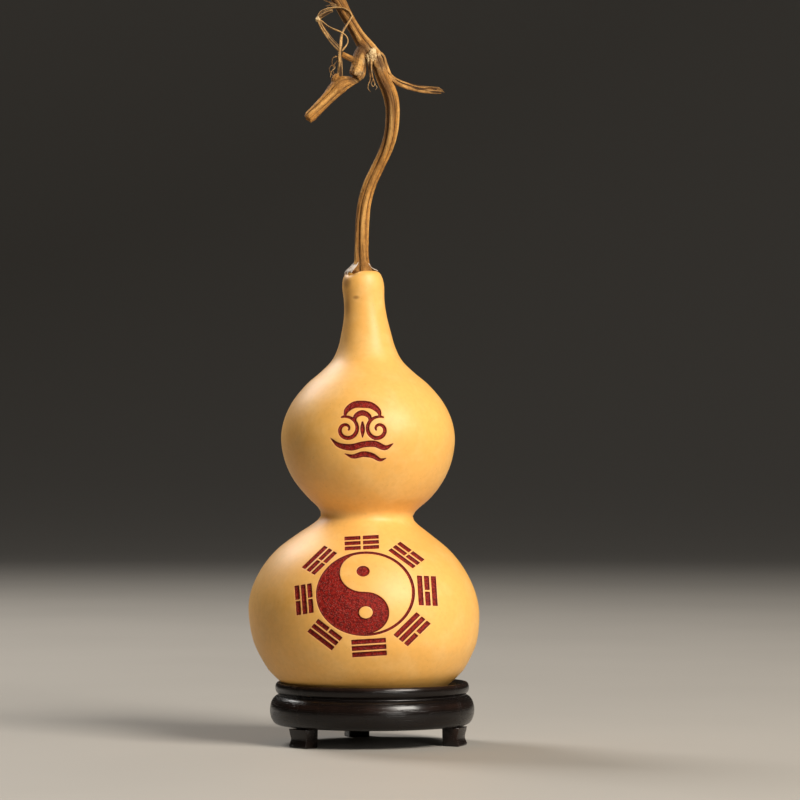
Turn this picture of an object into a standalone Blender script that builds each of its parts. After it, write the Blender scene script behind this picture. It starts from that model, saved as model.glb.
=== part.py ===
"""Dried bottle gourd with its stalk and a piece of vine, resting in a turned three-footed stand.

Metres, +Z up. The origin lies on the surface that the stand rests on, under the middle of the
gourd's lower lobe. The front of the gourd looks along -Y.
"""

import math

import bmesh
import bpy
import numpy as np

MM = 0.001
GAP = 0.3

# Gourd, in millimetres: radius and height of its outline, from the bottom to the neck's top.
GOURD_OUTLINE = [
    (0.0, 16.0), (12.0, 16.5), (24.0, 19.0), (33.5, 23.6), (39.4, 28.2), (42.6, 31.1),
    (46.0, 34.4), (48.6, 38.4), (53.3, 48.6), (55.1, 61.2), (54.4, 69.4), (51.8, 77.2),
    (47.2, 85.6), (41.3, 92.8), (32.2, 100.0), (25.3, 104.9), (22.2, 107.7), (22.0, 109.6),
    (23.6, 112.4), (28.6, 117.1), (35.1, 125.6), (39.8, 135.0), (41.6, 145.4), (40.6, 153.8),
    (36.7, 162.4), (29.9, 171.2), (22.7, 177.4), (17.2, 183.0), (14.0, 189.2), (12.0, 196.0),
    (10.5, 204.4), (9.85, 211.6), (10.2, 218.2), (9.5, 223.4), (7.4, 226.6),
]
# The growing axis wanders: height, and its drift to the right and to the back.
GOURD_AXIS = [
    (0.0, 1.1, 0.0), (36.0, 1.0, 0.0), (61.0, 0.0, 0.0), (78.0, -0.8, -0.2),
    (97.0, -0.8, -0.4), (105.0, 0.0, -0.3), (114.0, 2.2, -0.2), (128.0, 2.1, 0.2),
    (146.0, 1.6, 0.6), (172.0, 1.5, 0.8), (190.0, 1.1, 0.8), (204.0, 0.4, 0.9),
    (216.0, -0.4, 1.1), (228.0, -1.1, 1.2),
]
SOCKET_RADIUS = 4.7
SOCKET_DEPTH = 1.8
GOURD_SEGMENTS = 44

# Stand, in millimetres.
STAND_X = 3.9
UNDERSIDE = 9.2
RIM_RADIUS = 46.25
RIM_CROWN = 29.3
BEAD_HALF = (1.35, 2.5)
GROOVE = (44.8, 23.6)
RING_RADIUS = 48.8
RING_HEIGHT = 16.2
RING_HALF = (4.2, 7.0)
STAND_SEGMENTS = 48

# Feet: bearing of each from the front, towards the right, in degrees.
FEET = {"front_left": -50.0, "right": 70.0, "back": 190.0}
FOOT_OUTER = [(46.2, 8.9), (44.7, 6.7), (43.3, 4.4), (44.2, 2.0), (46.3, 0.7)]
FOOT_INNER_RADIUS = 37.8
FOOT_WIDTH = 12.2
FOOT_STEPS = 5

# Vine limbs: x, y, z and radius at points along each, in millimetres.
STALK = [
    (-1.1, 1.2, 225.6, 3.7), (-1.2, 1.2, 228.4, 3.9), (-1.4, 1.3, 233.0, 3.7),
    (-1.4, 1.6, 240.6, 3.5), (-1.2, 2.0, 249.2, 3.45), (-0.4, 2.4, 257.8, 3.4),
    (1.8, 2.6, 266.4, 3.4), (5.5, 2.2, 275.0, 3.4), (9.6, 1.2, 283.6, 3.4),
    (12.2, 0.2, 292.2, 3.45), (13.4, -0.5, 300.6, 3.5), (13.3, -0.6, 306.2, 3.6),
    (11.7, -0.4, 311.6, 3.6), (8.8, 0.0, 317.2, 3.5), (6.0, 0.3, 322.8, 3.9),
    (3.3, 0.6, 328.8, 4.7), (0.2, 1.2, 333.4, 3.9), (-2.9, 1.9, 338.0, 3.3),
    (-6.2, 2.6, 343.8, 3.05), (-9.3, 3.2, 349.6, 3.1), (-12.4, 3.7, 355.4, 3.3),
    (-15.4, 4.1, 361.0, 3.3),
]
BRANCH = [
    (2.6, 0.4, 327.6, 3.2), (-3.1, -1.4, 322.9, 3.9), (-7.4, -3.0, 318.9, 4.5),
    (-11.2, -4.4, 314.6, 4.4), (-15.5, -5.8, 309.6, 3.5), (-20.3, -7.2, 304.4, 3.1),
    (-24.4, -8.3, 299.8, 2.9), (-26.6, -8.8, 297.2, 2.3),
]
TWIG = [
    (3.6, 0.2, 330.2, 1.5), (7.4, 0.0, 329.6, 1.35), (9.9, 0.2, 327.0, 1.3),
    (11.3, 0.7, 323.4, 1.3), (13.0, 1.4, 319.2, 1.6), (17.0, 2.4, 316.6, 1.35),
    (22.4, 3.4, 314.6, 1.25), (30.0, 4.6, 313.0, 1.2), (37.2, 5.4, 311.6, 1.15),
]
TENDRILS = [
    # The thick one that springs from the branch and leans back against the vine.
    [(-10.9, -4.0, 317.0, 1.3), (-11.5, -4.4, 325.0, 1.05), (-11.3, -3.8, 331.4, 0.95),
     (-10.4, -2.0, 339.2, 0.8), (-8.5, 0.0, 343.8, 0.6), (-5.8, 1.6, 347.0, 0.5)],
    # The short stub between it and the vine.
    [(-1.6, 0.0, 325.0, 1.6), (-6.0, -2.2, 327.2, 1.3), (-11.0, -3.9, 329.6, 1.0)],
    # The pair that runs up to the knot.
    [(-11.4, -3.8, 330.6, 0.8), (-16.3, -3.8, 334.6, 0.7), (-20.2, -3.0, 340.8, 0.65),
     (-22.9, -2.0, 346.2, 0.8)],
    [(-11.2, -3.2, 332.4, 0.6), (-15.6, -2.6, 336.6, 0.5), (-19.4, -1.8, 341.8, 0.5),
     (-22.4, -1.8, 346.8, 0.7)],
    # The arc from the knot back to the vine, and the broken bit beside it.
    [(-22.9, -2.0, 346.0, 0.8), (-20.6, -1.2, 349.4, 0.5), (-16.6, 0.2, 351.2, 0.45),
     (-12.6, 1.6, 351.6, 0.45), (-8.6, 3.0, 350.8, 0.5)],
    [(-22.6, -2.0, 346.4, 0.9), (-18.9, -2.6, 348.6, 0.85), (-15.2, -3.0, 350.2, 0.6)],
    # The thin one that crosses behind.
    [(-21.8, -1.8, 345.8, 0.5), (-17.2, -2.4, 342.0, 0.42), (-11.2, -2.6, 339.6, 0.42),
     (-8.2, -2.4, 337.2, 0.42), (-7.8, -3.0, 334.2, 0.42), (-10.6, -3.8, 330.4, 0.5)],
]

GOURD_COLOR = (0.84, 0.53, 0.20, 1.0)
VINE_COLOR = (0.46, 0.25, 0.08, 1.0)
STAND_COLOR = (0.012, 0.009, 0.008, 1.0)


def clear_scene():
    for obj in list(bpy.data.objects):
        bpy.data.objects.remove(obj, do_unlink=True)


def finish_material(name, color, roughness):
    material = bpy.data.materials.new(name)
    material.use_nodes = True
    shader = material.node_tree.nodes["Principled BSDF"]
    shader.inputs["Base Color"].default_value = color
    shader.inputs["Roughness"].default_value = roughness
    shader.inputs["Metallic"].default_value = 0.0
    return material


def smooth_curve(knots, per_span, place_columns):
    """Points of a centripetal Catmull-Rom curve through the knots, per_span for each stretch.

    The first place_columns numbers of a knot are its place, and the others, such as a radius,
    are carried along.
    """
    knots = np.asarray(knots, float)
    ends = (2 * knots[0] - knots[1], 2 * knots[-1] - knots[-2])
    p = np.vstack([ends[0], knots, ends[1]])
    reach = np.linalg.norm(np.diff(p[:, :place_columns], axis=0), axis=1)
    t = np.concatenate([[0.0], np.cumsum(np.sqrt(reach))])
    points = []
    for i in range(1, len(p) - 2):
        for share in np.arange(per_span) / per_span:
            at = t[i] + share * (t[i + 1] - t[i])
            a = [blend(p[j], p[j + 1], t[j], t[j + 1], at) for j in (i - 1, i, i + 1)]
            b = [blend(a[j], a[j + 1], t[i - 1 + j], t[i + 1 + j], at) for j in (0, 1)]
            points.append(blend(b[0], b[1], t[i], t[i + 1], at))
    points.append(knots[-1])
    return np.array(points)


def blend(first, last, start, end, at):
    return first + (last - first) * (at - start) / (end - start)


def mesh_object(name, points, faces, material):
    """A smooth-shaded object from points in millimetres, with its faces turned outwards."""
    mesh = bpy.data.meshes.new(name)
    mesh.from_pydata([tuple(p) for p in np.asarray(points) * MM], [], faces)
    bm = bmesh.new()
    bm.from_mesh(mesh)
    bmesh.ops.remove_doubles(bm, verts=bm.verts, dist=1e-6)
    bmesh.ops.recalc_face_normals(bm, faces=bm.faces)
    bm.to_mesh(mesh)
    bm.free()
    mesh.shade_smooth()
    mesh.set_sharp_from_angle(angle=math.radians(50))
    mesh.materials.append(material)
    obj = bpy.data.objects.new(name, mesh)
    bpy.context.scene.collection.objects.link(obj)
    return obj


def ring_faces(rings, sides):
    """Quads between neighbouring rings of points that are stored one after the other."""
    faces = []
    for i in range(rings - 1):
        for j in range(sides):
            k = (j + 1) % sides
            faces.append((i * sides + j, i * sides + k, (i + 1) * sides + k, (i + 1) * sides + j))
    return faces


def turned(outline, segments):
    """Points and faces of an outline, given as radius and height, turned about the Z axis."""
    turn = np.arange(segments) * 2 * math.pi / segments
    radius, height = np.asarray(outline, float).T
    x = radius[:, None] * np.sin(turn)
    y = -radius[:, None] * np.cos(turn)
    z = np.repeat(height[:, None], segments, axis=1)
    return np.stack([x, y, z], axis=2).reshape(-1, 3), ring_faces(len(radius), segments)


def arc(centre, half, start, end, count):
    """Points on an ellipse in the radius-height plane, between two angles in degrees."""
    angles = np.radians(np.linspace(start, end, count))
    return [
        (centre[0] + half[0] * math.cos(a), centre[1] + half[1] * math.sin(a)) for a in angles
    ]


def make_gourd(material):
    """One solid body, turned from its outline and bent to its wandering axis."""
    outline = smooth_curve(GOURD_OUTLINE, 2, 2)
    top = outline[-1, 1]
    lip = [(SOCKET_RADIUS + 1.2, top + 0.9), (SOCKET_RADIUS, top + 0.6)]
    socket = [(SOCKET_RADIUS, top + 0.6 - SOCKET_DEPTH), (0.0, top + 0.6 - SOCKET_DEPTH)]
    points, faces = turned(np.vstack([outline, lip, socket]), GOURD_SEGMENTS)
    axis = smooth_curve(GOURD_AXIS, 6, 3)
    for column in (0, 1):
        points[:, column] += np.interp(points[:, 2], axis[:, 0], axis[:, column + 1])
    return mesh_object("gourd", points, faces, material)


def seat_outline():
    """The dished seat: the gourd's own outline, widened so that it leans on its left side."""
    outline = smooth_curve(GOURD_OUTLINE, 2, 2)
    wider = STAND_X - GOURD_AXIS[0][1] + GAP
    seat = outline + (wider, -GAP)
    crown_edge = RIM_CROWN - BEAD_HALF[1] / 2
    seat = seat[seat[:, 1] < crown_edge - 0.6]
    rising = outline[: outline[:, 0].argmax()]
    edge_radius = np.interp(crown_edge, rising[:, 1], rising[:, 0]) + wider
    return [(0.0, seat[0, 1]), *map(tuple, seat), (edge_radius, crown_edge)]


def make_stand_ring(material):
    """The turned body: dished seat, rim bead, groove, half-round ring and flat underside."""
    bead_centre = (RIM_RADIUS - BEAD_HALF[0], RIM_CROWN - BEAD_HALF[1])
    ring_centre = (RING_RADIUS - RING_HALF[0], RING_HEIGHT)
    outline = [
        *seat_outline(),
        *arc(bead_centre, BEAD_HALF, 95, -60, 6),
        GROOVE,
        *arc(ring_centre, RING_HALF, 72, -80, 10),
        (ring_centre[0], UNDERSIDE),
        (0.0, UNDERSIDE),
    ]
    points, faces = turned(outline, STAND_SEGMENTS)
    return mesh_object("stand_ring", points + (STAND_X, 0.0, 0.0), faces, material)


def make_foot(side, bearing, material):
    """A small foot: its section curves in under the ring and flares out at the toe."""
    outer = smooth_curve(FOOT_OUTER, 3, 2)
    toe = [(outer[-1, 0] - 0.4, 0.0)]
    top = UNDERSIDE - GAP
    inner = [(FOOT_INNER_RADIUS, 0.0), (FOOT_INNER_RADIUS - 0.6, top)]
    section = np.vstack([outer, toe, inner])
    section[0, 1] = top
    half = math.asin(FOOT_WIDTH / 2 / FOOT_OUTER[0][0])
    turns = math.radians(bearing) + np.linspace(-half, half, FOOT_STEPS + 1)
    points = [
        (STAND_X + r * math.sin(a), -r * math.cos(a), z) for a in turns for r, z in section
    ]
    count = len(section)
    faces = ring_faces(FOOT_STEPS + 1, count)
    faces.append(tuple(range(count)))
    faces.append(tuple(range(FOOT_STEPS * count, (FOOT_STEPS + 1) * count)))
    foot = mesh_object("stand_foot_" + side, points, faces, material)
    edge = foot.modifiers.new("eased edges", "BEVEL")
    edge.width = 0.4 * MM
    edge.segments = 1
    edge.limit_method = "ANGLE"
    edge.angle_limit = math.radians(60)
    return foot


def frames_along(path):
    """Tangent and two side directions at each point, turning as little as they can."""
    tangents = np.gradient(path, axis=0)
    tangents /= np.linalg.norm(tangents, axis=1)[:, None]
    side = np.cross(tangents[0], (0.0, 1.0, 0.0))
    sides = []
    for tangent in tangents:
        side = side - tangent * side.dot(tangent)
        side = side / np.linalg.norm(side)
        sides.append(side)
    sides = np.array(sides)
    return tangents, sides, np.cross(tangents, sides)


def limb(name, knots, per_span, sides, ridges, relief, twist, slant, material):
    """A closed fluted tube along a smooth curve through the knots.

    Its radius swells by relief, as a share, at each of its ridges, which twist by that many
    turns along it. The far end is cut at a slant: its rim slides along by slant radii.
    """
    curve = smooth_curve(knots, per_span, 3)
    path, radius = curve[:, :3], curve[:, 3]
    tangents, across, up = frames_along(path)
    share = np.linspace(0.0, 1.0, len(path))[:, None]
    turn = np.arange(sides) * 2 * math.pi / sides
    swell = 1 + relief * np.cos(ridges * (turn - twist * 2 * math.pi * share))
    swell[-1] = 1.0
    reach = radius[:, None] * swell
    points = (
        path[:, None]
        + (reach * np.cos(turn))[..., None] * across[:, None]
        + (reach * np.sin(turn))[..., None] * up[:, None]
    )
    points[-1] += slant * (reach[-1] * np.cos(turn))[:, None] * tangents[-1]
    faces = ring_faces(len(path), sides)
    faces.append(tuple(range(sides)))
    faces.append(tuple(range((len(path) - 1) * sides, len(path) * sides)))
    return mesh_object(name, points.reshape(-1, 3), faces, material)


def fuse(base, others):
    """Joins overlapping closed shapes to the base in one Boolean union, and removes them."""
    group = bpy.data.collections.new(base.name + "_limbs")
    bpy.context.scene.collection.children.link(group)
    for other in others:
        group.objects.link(other)
    union = base.modifiers.new("union", "BOOLEAN")
    union.operation = "UNION"
    union.solver = "EXACT"
    union.operand_type = "COLLECTION"
    union.collection = group
    graph = bpy.context.evaluated_depsgraph_get()
    fused = bpy.data.meshes.new_from_object(base.evaluated_get(graph))
    base.modifiers.clear()
    base.data = fused
    for other in others:
        bpy.data.objects.remove(other, do_unlink=True)
    bpy.data.collections.remove(group)


def make_vine(material):
    """Stalk, broken side branch, split twig and tendrils, grown together in one body."""
    stalk = limb("vine", STALK, 2, 15, 5, 0.13, 0.5, 0.0, material)
    branch = limb("branch", BRANCH, 2, 12, 4, 0.08, 0.1, 0.35, material)
    twig = limb("twig", TWIG, 2, 8, 2, 0.16, 0.2, 0.3, material)
    tendrils = [
        limb(f"tendril_{n}", knots, 3, 6, 1, 0.0, 0.0, 0.0, material)
        for n, knots in enumerate(TENDRILS)
    ]
    fuse(stalk, [branch, twig, *tendrils])


def main():
    clear_scene()
    shell = finish_material("gourd_shell", GOURD_COLOR, 0.42)
    bark = finish_material("dried_vine", VINE_COLOR, 0.7)
    wood = finish_material("dark_wood", STAND_COLOR, 0.35)
    make_gourd(shell)
    make_vine(bark)
    make_stand_ring(wood)
    for side, bearing in FEET.items():
        make_foot(side, bearing, wood)


main()
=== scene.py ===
"""Looks of a dried bottle gourd with a carved front, its stalk and vine, in a turned dark stand.

The script is laid out as a Blender add-on and run as a script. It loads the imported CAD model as
its frame and builds each visible piece over the CAD solid that it stands for. Shapes are worked
out in millimetres, +Z up and the carved front towards -Y, and put into the meshes in metres.
"""

import math

import bpy
import numpy as np
from bpy.props import FloatProperty, FloatVectorProperty, PointerProperty
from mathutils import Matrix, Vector


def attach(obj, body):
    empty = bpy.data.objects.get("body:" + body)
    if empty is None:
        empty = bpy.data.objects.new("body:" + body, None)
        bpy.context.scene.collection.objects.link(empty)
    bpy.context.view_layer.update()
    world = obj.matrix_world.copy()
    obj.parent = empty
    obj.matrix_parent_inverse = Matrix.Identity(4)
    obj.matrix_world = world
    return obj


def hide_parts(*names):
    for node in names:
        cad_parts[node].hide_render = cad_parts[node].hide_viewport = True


bl_info = {
    "name": "Dried Bottle Gourd",
    "version": (1, 0, 0),
    "blender": (4, 5, 0),
    "location": "View3D > Sidebar > Gourd",
    "description": "Builds a carved bottle gourd with its vine, its turned stand and a studio",
    "category": "Object",
}

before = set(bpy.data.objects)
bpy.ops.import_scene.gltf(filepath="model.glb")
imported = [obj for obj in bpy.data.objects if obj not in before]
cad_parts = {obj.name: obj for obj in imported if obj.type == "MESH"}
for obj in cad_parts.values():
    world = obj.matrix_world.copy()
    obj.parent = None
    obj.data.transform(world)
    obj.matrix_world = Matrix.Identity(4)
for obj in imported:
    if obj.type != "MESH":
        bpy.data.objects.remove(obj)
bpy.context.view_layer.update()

MM = 0.001

# The photograph's eye: its place, how far it looks up in degrees, its lens and its picture width.
EYE = np.array((17.2, -1840.0, 149.6))
EYE_TILT = 0.446
LENS = 173.25
PICTURE_WIDTH = 36.0

# Gourd: radius and height of its outline, and the drift of its axis to the right and back.
GOURD_OUTLINE = [
    (0.0, 16.0), (12.0, 16.5), (24.0, 19.0), (33.5, 23.6), (39.4, 28.2), (42.6, 31.1),
    (46.0, 34.4), (48.6, 38.4), (53.3, 48.6), (55.1, 61.2), (54.4, 69.4), (51.71, 77.2),
    (46.88, 85.6), (40.64, 92.8), (31.49, 100.0), (24.69, 104.9), (22.01, 107.7), (21.93, 109.6),
    (23.85, 112.4), (28.96, 117.1), (35.65, 125.6), (39.85, 135.0), (41.52, 145.4), (40.28, 153.8),
    (36.45, 162.4), (29.4, 171.2), (22.17, 177.4), (16.77, 183.0), (13.76, 189.2), (11.95, 196.0),
    (10.23, 204.4), (9.72, 211.6), (10.03, 217.8), (9.68, 221.2), (8.86, 223.6),
]
GOURD_LIP = [(8.0, 224.8), (7.0, 225.4), (6.0, 225.6), (5.2, 225.5), (4.7, 225.1), (4.4, 224.4)]
# Where the lip dips: bearing from the front towards the right in degrees, and depth.
LIP_DIP = (-46.0, 1.4)
GOURD_AXIS = [
    (0.0, 1.1, 0.0), (36.0, 1.0, 0.0), (61.0, 0.0, 0.0), (78.0, -0.6, -0.2),
    (97.0, -0.42, -0.4), (105.0, 0.57, -0.3), (114.0, 2.67, -0.2), (128.0, 2.28, 0.2),
    (146.0, 1.74, 0.6), (172.0, 1.56, 0.8), (190.0, 1.34, 0.8), (204.0, 0.69, 0.9),
    (216.0, -0.27, 1.1), (228.0, -0.82, 1.2),
]
# Height at which the rows of the shell's grid start to be that far apart along the outline.
ROW_SPACING = [
    (0.0, 4.0), (40.0, 4.0), (42.0, 0.36), (100.5, 0.36), (102.5, 2.4), (131.5, 2.4),
    (133.5, 0.42), (164.5, 0.42), (166.5, 2.2), (220.0, 2.0), (223.0, 0.5), (230.0, 0.5),
]
# Half the turn with close columns, in degrees, and the number of close and of wide columns.
CARVED_HALF_TURN = 47.0
FINE_COLUMNS = 234
PLAIN_COLUMNS = 46
# Stains near the neck's top, and painted shade down its left and under the film's edge:
# centre, half sizes and strength.
NECK_STAINS_AND_SHADE = [
    ((-3.7, -8.0, 212.7), (2.3, 3.0, 1.3), 0.65),
    ((-8.0, -4.6, 219.8), (3.4, 5.5, 3.8), 0.5),
    ((-8.2, -4.4, 208.5), (2.6, 5.0, 6.5), 0.35),
    ((-6.0, -6.4, 223.6), (3.2, 3.0, 1.3), 0.45),
]

# Carving, as it is seen from the eye on the plane through the gourd's middle: x and z.
DISC_CENTRE = (0.7, 71.38)
DISC_HALF = (23.73, 20.24)
DISC_LINE = (1.5, 1.2)
MOTIF_TILT = 3.5
BARE_HEAD = ((-0.2, 81.43), (11.32, 9.12))
RED_HEAD = ((0.77, 62.26), (11.32, 10.0))
RED_DOT = ((-0.45, 82.16), (3.17, 2.59))
BARE_DOT = ((0.87, 62.45), (3.27, 2.88))
# Trigrams: middle, half of a bar's length, half of the stack from the disc outwards, width of
# the parting, and the bars from the disc outwards, where True is whole and False is parted.
TRIGRAMS = [
    ((-1.1, 95.8), (8.22, 0.45), (-0.1, 3.3), 1.1, (False, False, False)),
    ((20.3, 89.9), (5.88, -4.27), (2.9, 2.15), 0.75, (True, False, False)),
    ((30.3, 72.8), (0.48, -7.13), (4.57, -0.18), 0.75, (True, False, True)),
    ((23.0, 54.4), (-5.52, -5.45), (3.45, -2.77), 1.0, (True, True, False)),
    ((2.4, 45.6), (-8.3, -0.52), (0.3, -4.18), 0.8, (True, True, True)),
    ((-18.7, 51.8), (-5.85, 4.48), (-2.61, -3.09), 0.8, (False, True, True)),
    ((-28.7, 68.7), (-0.52, 7.05), (-4.11, -0.68), 0.65, (False, True, False)),
    ((-21.3, 87.4), (5.44, 5.24), (-3.07, 1.83), 0.75, (False, False, True)),
]
BAR_SHARE = 0.275
# Cloud scroll on the upper lobe: its middle, and strokes of x, z and half width from there.
CLOUD_CENTRE = (-0.8, 148.9)
# Curls of the scroll: centre, reach, turns and the side that they open to.
CLOUD_CURLS = [((-7.6, 1.0), 6.3, 1.35, -1.0), ((7.6, 1.0), 6.3, 1.35, 1.0)]
CLOUD_STROKES = [
    [(-8.6, 6.9, 0.4), (-7.6, 10.0, 1.2), (-4.2, 12.6, 1.6), (0.0, 13.0, 1.75),
     (4.3, 12.4, 1.6), (7.7, 9.8, 1.2), (8.6, 6.9, 0.4)],
    [(-3.6, 4.2, 0.5), (-3.3, 7.2, 1.05), (0.0, 8.9, 1.35), (3.3, 7.2, 1.05), (3.6, 4.2, 0.5)],
    [(-15.4, -3.0, 0.15), (-11.6, -6.4, 1.1), (-5.4, -7.6, 1.6), (0.6, -6.2, 1.5),
     (6.0, -6.0, 1.55), (11.0, -7.8, 1.2), (14.8, -5.8, 0.2)],
    [(-8.6, -10.6, 0.15), (-4.6, -12.0, 1.0), (0.4, -10.9, 1.4), (4.8, -11.6, 1.25),
     (8.6, -13.6, 0.8), (11.4, -12.8, 0.2)],
    [(0.0, 4.4, 0.5), (0.1, 1.0, 1.15), (0.0, -2.8, 0.3)],
]

# Vine: x, y, z and radius at points along each limb.
STALK = [
    (-1.1, 1.2, 224.0, 5.2), (-1.1, 1.2, 225.4, 5.4), (-1.1, 1.2, 226.9, 5.0),
    (-1.2, 1.2, 228.4, 4.2), (-1.2, 1.2, 230.2, 3.7), (-1.3, 1.3, 234.0, 3.45),
    (-1.2, 1.6, 241.0, 3.3), (-1.0, 2.0, 249.2, 3.2), (0.0, 2.4, 257.8, 3.1),
    (2.4, 2.6, 266.4, 3.1), (6.3, 2.2, 275.0, 3.05), (10.3, 1.2, 283.6, 3.05),
    (12.9, 0.2, 292.2, 3.2), (13.8, -0.5, 300.6, 3.4), (13.6, -0.6, 306.2, 3.5),
    (12.2, -0.4, 311.6, 3.45), (9.6, 0.0, 317.2, 3.25), (7.4, 0.3, 322.6, 3.1),
    (4.7, 0.6, 328.2, 3.8), (0.6, 1.2, 333.4, 3.8), (-2.4, 1.9, 338.0, 3.1),
    (-5.7, 2.6, 343.8, 2.85), (-9.1, 3.2, 349.6, 2.85), (-12.1, 3.7, 355.4, 3.0),
    (-15.3, 4.1, 361.0, 3.1),
]
COLLAR = [
    (0.4, 1.0, 333.4, 2.6), (-1.0, 0.4, 329.8, 3.5), (-2.2, -0.8, 326.4, 3.6),
    (-2.4, -1.7, 323.4, 3.7), (-2.9, -2.4, 320.9, 3.9), (-3.6, -3.0, 319.0, 3.7),
    (-4.2, -3.2, 317.9, 2.9),
]
BRANCH = [
    (-2.6, -2.4, 316.6, 1.1), (-4.6, -3.0, 316.4, 1.8), (-7.3, -3.6, 315.8, 2.8),
    (-10.5, -4.2, 314.7, 3.9),
    (-13.2, -5.0, 312.4, 3.8), (-15.9, -5.8, 309.3, 3.25), (-19.1, -6.8, 305.7, 2.95),
    (-23.0, -7.9, 301.5, 2.8), (-25.6, -8.6, 298.8, 2.7), (-26.8, -8.9, 297.4, 2.3),
]
SHOULDER = [
    (-11.6, -4.5, 311.6, 2.6), (-12.7, -4.9, 314.6, 2.6), (-13.5, -5.0, 316.9, 2.1),
    (-12.2, -4.7, 319.0, 1.3),
]
STUB = [(-1.6, 0.0, 325.0, 1.9), (-6.0, -2.2, 326.9, 1.5), (-10.8, -3.9, 329.0, 1.35)]
# Limbs of the main vine: knots, ribs around, turns of twist, angle of the first rib in degrees,
# relief as a share of the radius, how far the broken end leans, and how far it frays.
VINE_LIMBS = [
    (STALK, 5, -0.17, 26.0, 0.2, 0.0, 0.3),
    (COLLAR, 4, 0.1, 20.0, 0.10, 0.1, 0.4),
    (BRANCH, 6, 0.1, 40.0, 0.07, 0.1, 0.5),
    (SHOULDER, 3, 0.1, 0.0, 0.05, 0.0, 0.2),
    (STUB, 3, 0.1, 0.0, 0.08, 0.0, 0.2),
]
# The split twig at the right: its two strands, and splinters at their ends.
TWIG_STRANDS = [
    [(4.4, -0.6, 329.4, 1.4), (7.0, -0.6, 329.2, 1.4), (8.6, -0.4, 328.0, 1.4),
     (9.8, 0.0, 325.0, 1.35), (11.1, 0.5, 321.8, 1.15), (12.7, 1.0, 319.3, 0.85),
     (15.8, 1.7, 317.4, 0.65), (20.4, 2.7, 315.6, 0.55), (25.4, 3.6, 314.4, 0.52),
     (31.0, 4.4, 313.7, 0.5), (36.2, 5.1, 313.5, 0.4)],
    [(4.2, -1.4, 326.8, 1.4), (6.6, -1.2, 326.4, 1.0), (8.0, -0.8, 323.8, 0.8),
     (9.8, -0.2, 320.6, 0.9), (12.2, 0.5, 318.0, 1.1), (15.4, 1.3, 315.8, 1.15),
     (20.2, 2.4, 313.8, 1.05), (25.4, 3.4, 312.6, 1.0), (31.0, 4.3, 311.9, 0.95),
     (37.0, 5.2, 311.5, 0.6)],
    [(35.4, 5.0, 311.8, 0.5), (37.2, 5.2, 312.0, 0.34), (38.5, 5.4, 311.5, 0.14)],
    [(34.6, 4.9, 313.0, 0.42), (36.6, 5.2, 312.9, 0.3), (37.9, 5.3, 312.4, 0.12)],
]
TENDRILS = [
    [(-11.6, -4.6, 315.4, 2.2), (-11.5, -4.6, 318.8, 1.4), (-11.4, -4.4, 325.0, 1.05),
     (-11.3, -3.8, 331.4, 0.95),
     (-10.4, -2.0, 339.2, 0.7), (-8.0, -0.5, 344.0, 0.55), (-5.7, 0.3, 347.7, 0.5)],
    [(-11.4, -3.8, 330.6, 0.8), (-15.3, -3.8, 334.6, 0.7), (-17.1, -3.6, 336.8, 0.65),
     (-20.6, -3.0, 342.2, 0.65), (-22.0, -2.2, 345.4, 0.8)],
    [(-11.2, -3.2, 332.0, 0.6), (-14.2, -3.0, 334.8, 0.55), (-16.0, -2.8, 336.9, 0.5),
     (-19.4, -2.2, 342.2, 0.5), (-21.4, -1.8, 346.2, 0.7)],
    [(-21.9, -2.0, 345.8, 0.8), (-20.9, -1.2, 349.0, 0.5), (-17.6, 0.0, 351.0, 0.45),
     (-13.4, 0.2, 351.6, 0.45), (-9.5, 0.0, 351.2, 0.45), (-7.0, 0.1, 349.8, 0.45),
     (-5.6, 0.4, 347.4, 0.45)],
    [(-21.8, -2.0, 346.2, 0.9), (-18.6, -2.6, 348.4, 0.85), (-15.0, -3.0, 350.0, 0.6)],
    [(-21.0, -1.8, 345.4, 0.5), (-17.0, -2.4, 342.2, 0.42), (-11.2, -2.6, 339.6, 0.42),
     (-8.2, -2.4, 337.2, 0.42), (-7.8, -3.0, 334.2, 0.42), (-10.6, -3.8, 330.4, 0.5)],
]
# Loose fibres: hanging from the node, curled beside the branch, and splinters at the top.
FIBRES = [
    [(3.0, -3.7, 326.6, 0.95), (3.2, -4.3, 321.8, 0.7), (4.2, -4.5, 317.4, 0.42),
     (5.4, -4.4, 314.4, 0.22), (6.2, -4.2, 313.0, 0.18), (5.4, -4.2, 311.9, 0.16)],
    [(2.3, -3.8, 325.0, 0.6), (2.6, -4.2, 320.4, 0.42), (2.9, -4.6, 316.6, 0.3),
     (2.0, -4.9, 314.2, 0.2), (2.0, -4.8, 312.2, 0.18), (3.1, -4.6, 310.9, 0.15)],
    [(3.6, -4.2, 321.0, 0.3), (4.2, -4.8, 317.0, 0.24), (3.4, -5.2, 314.8, 0.2),
     (4.4, -5.2, 313.4, 0.18), (5.2, -4.9, 314.8, 0.16), (4.6, -4.8, 315.6, 0.14)],
    [(-12.4, -3.9, 328.0, 0.24), (-14.8, -4.6, 327.1, 0.22), (-15.2, -5.0, 324.4, 0.2),
     (-13.8, -5.2, 322.6, 0.2), (-15.6, -5.4, 320.4, 0.2), (-16.1, -5.3, 317.8, 0.18)],
    [(-13.2, -4.4, 316.8, 0.3), (-15.2, -5.0, 318.9, 0.24), (-16.5, -5.2, 321.9, 0.2),
     (-15.0, -5.0, 323.6, 0.2), (-14.2, -4.6, 321.6, 0.17)],
    [(-13.0, -3.6, 317.4, 0.3), (-14.6, -3.8, 320.4, 0.24), (-14.0, -3.6, 324.0, 0.2),
     (-12.6, -3.4, 326.4, 0.2), (-13.6, -3.6, 328.4, 0.17)],
    [(-13.4, 1.6, 352.9, 0.45), (-16.0, 0.8, 354.0, 0.36), (-19.4, 0.2, 355.4, 0.22)],
    [(-12.8, 1.4, 352.2, 0.4), (-15.8, 0.6, 352.8, 0.3), (-18.4, 0.4, 352.3, 0.2)],
]
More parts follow.
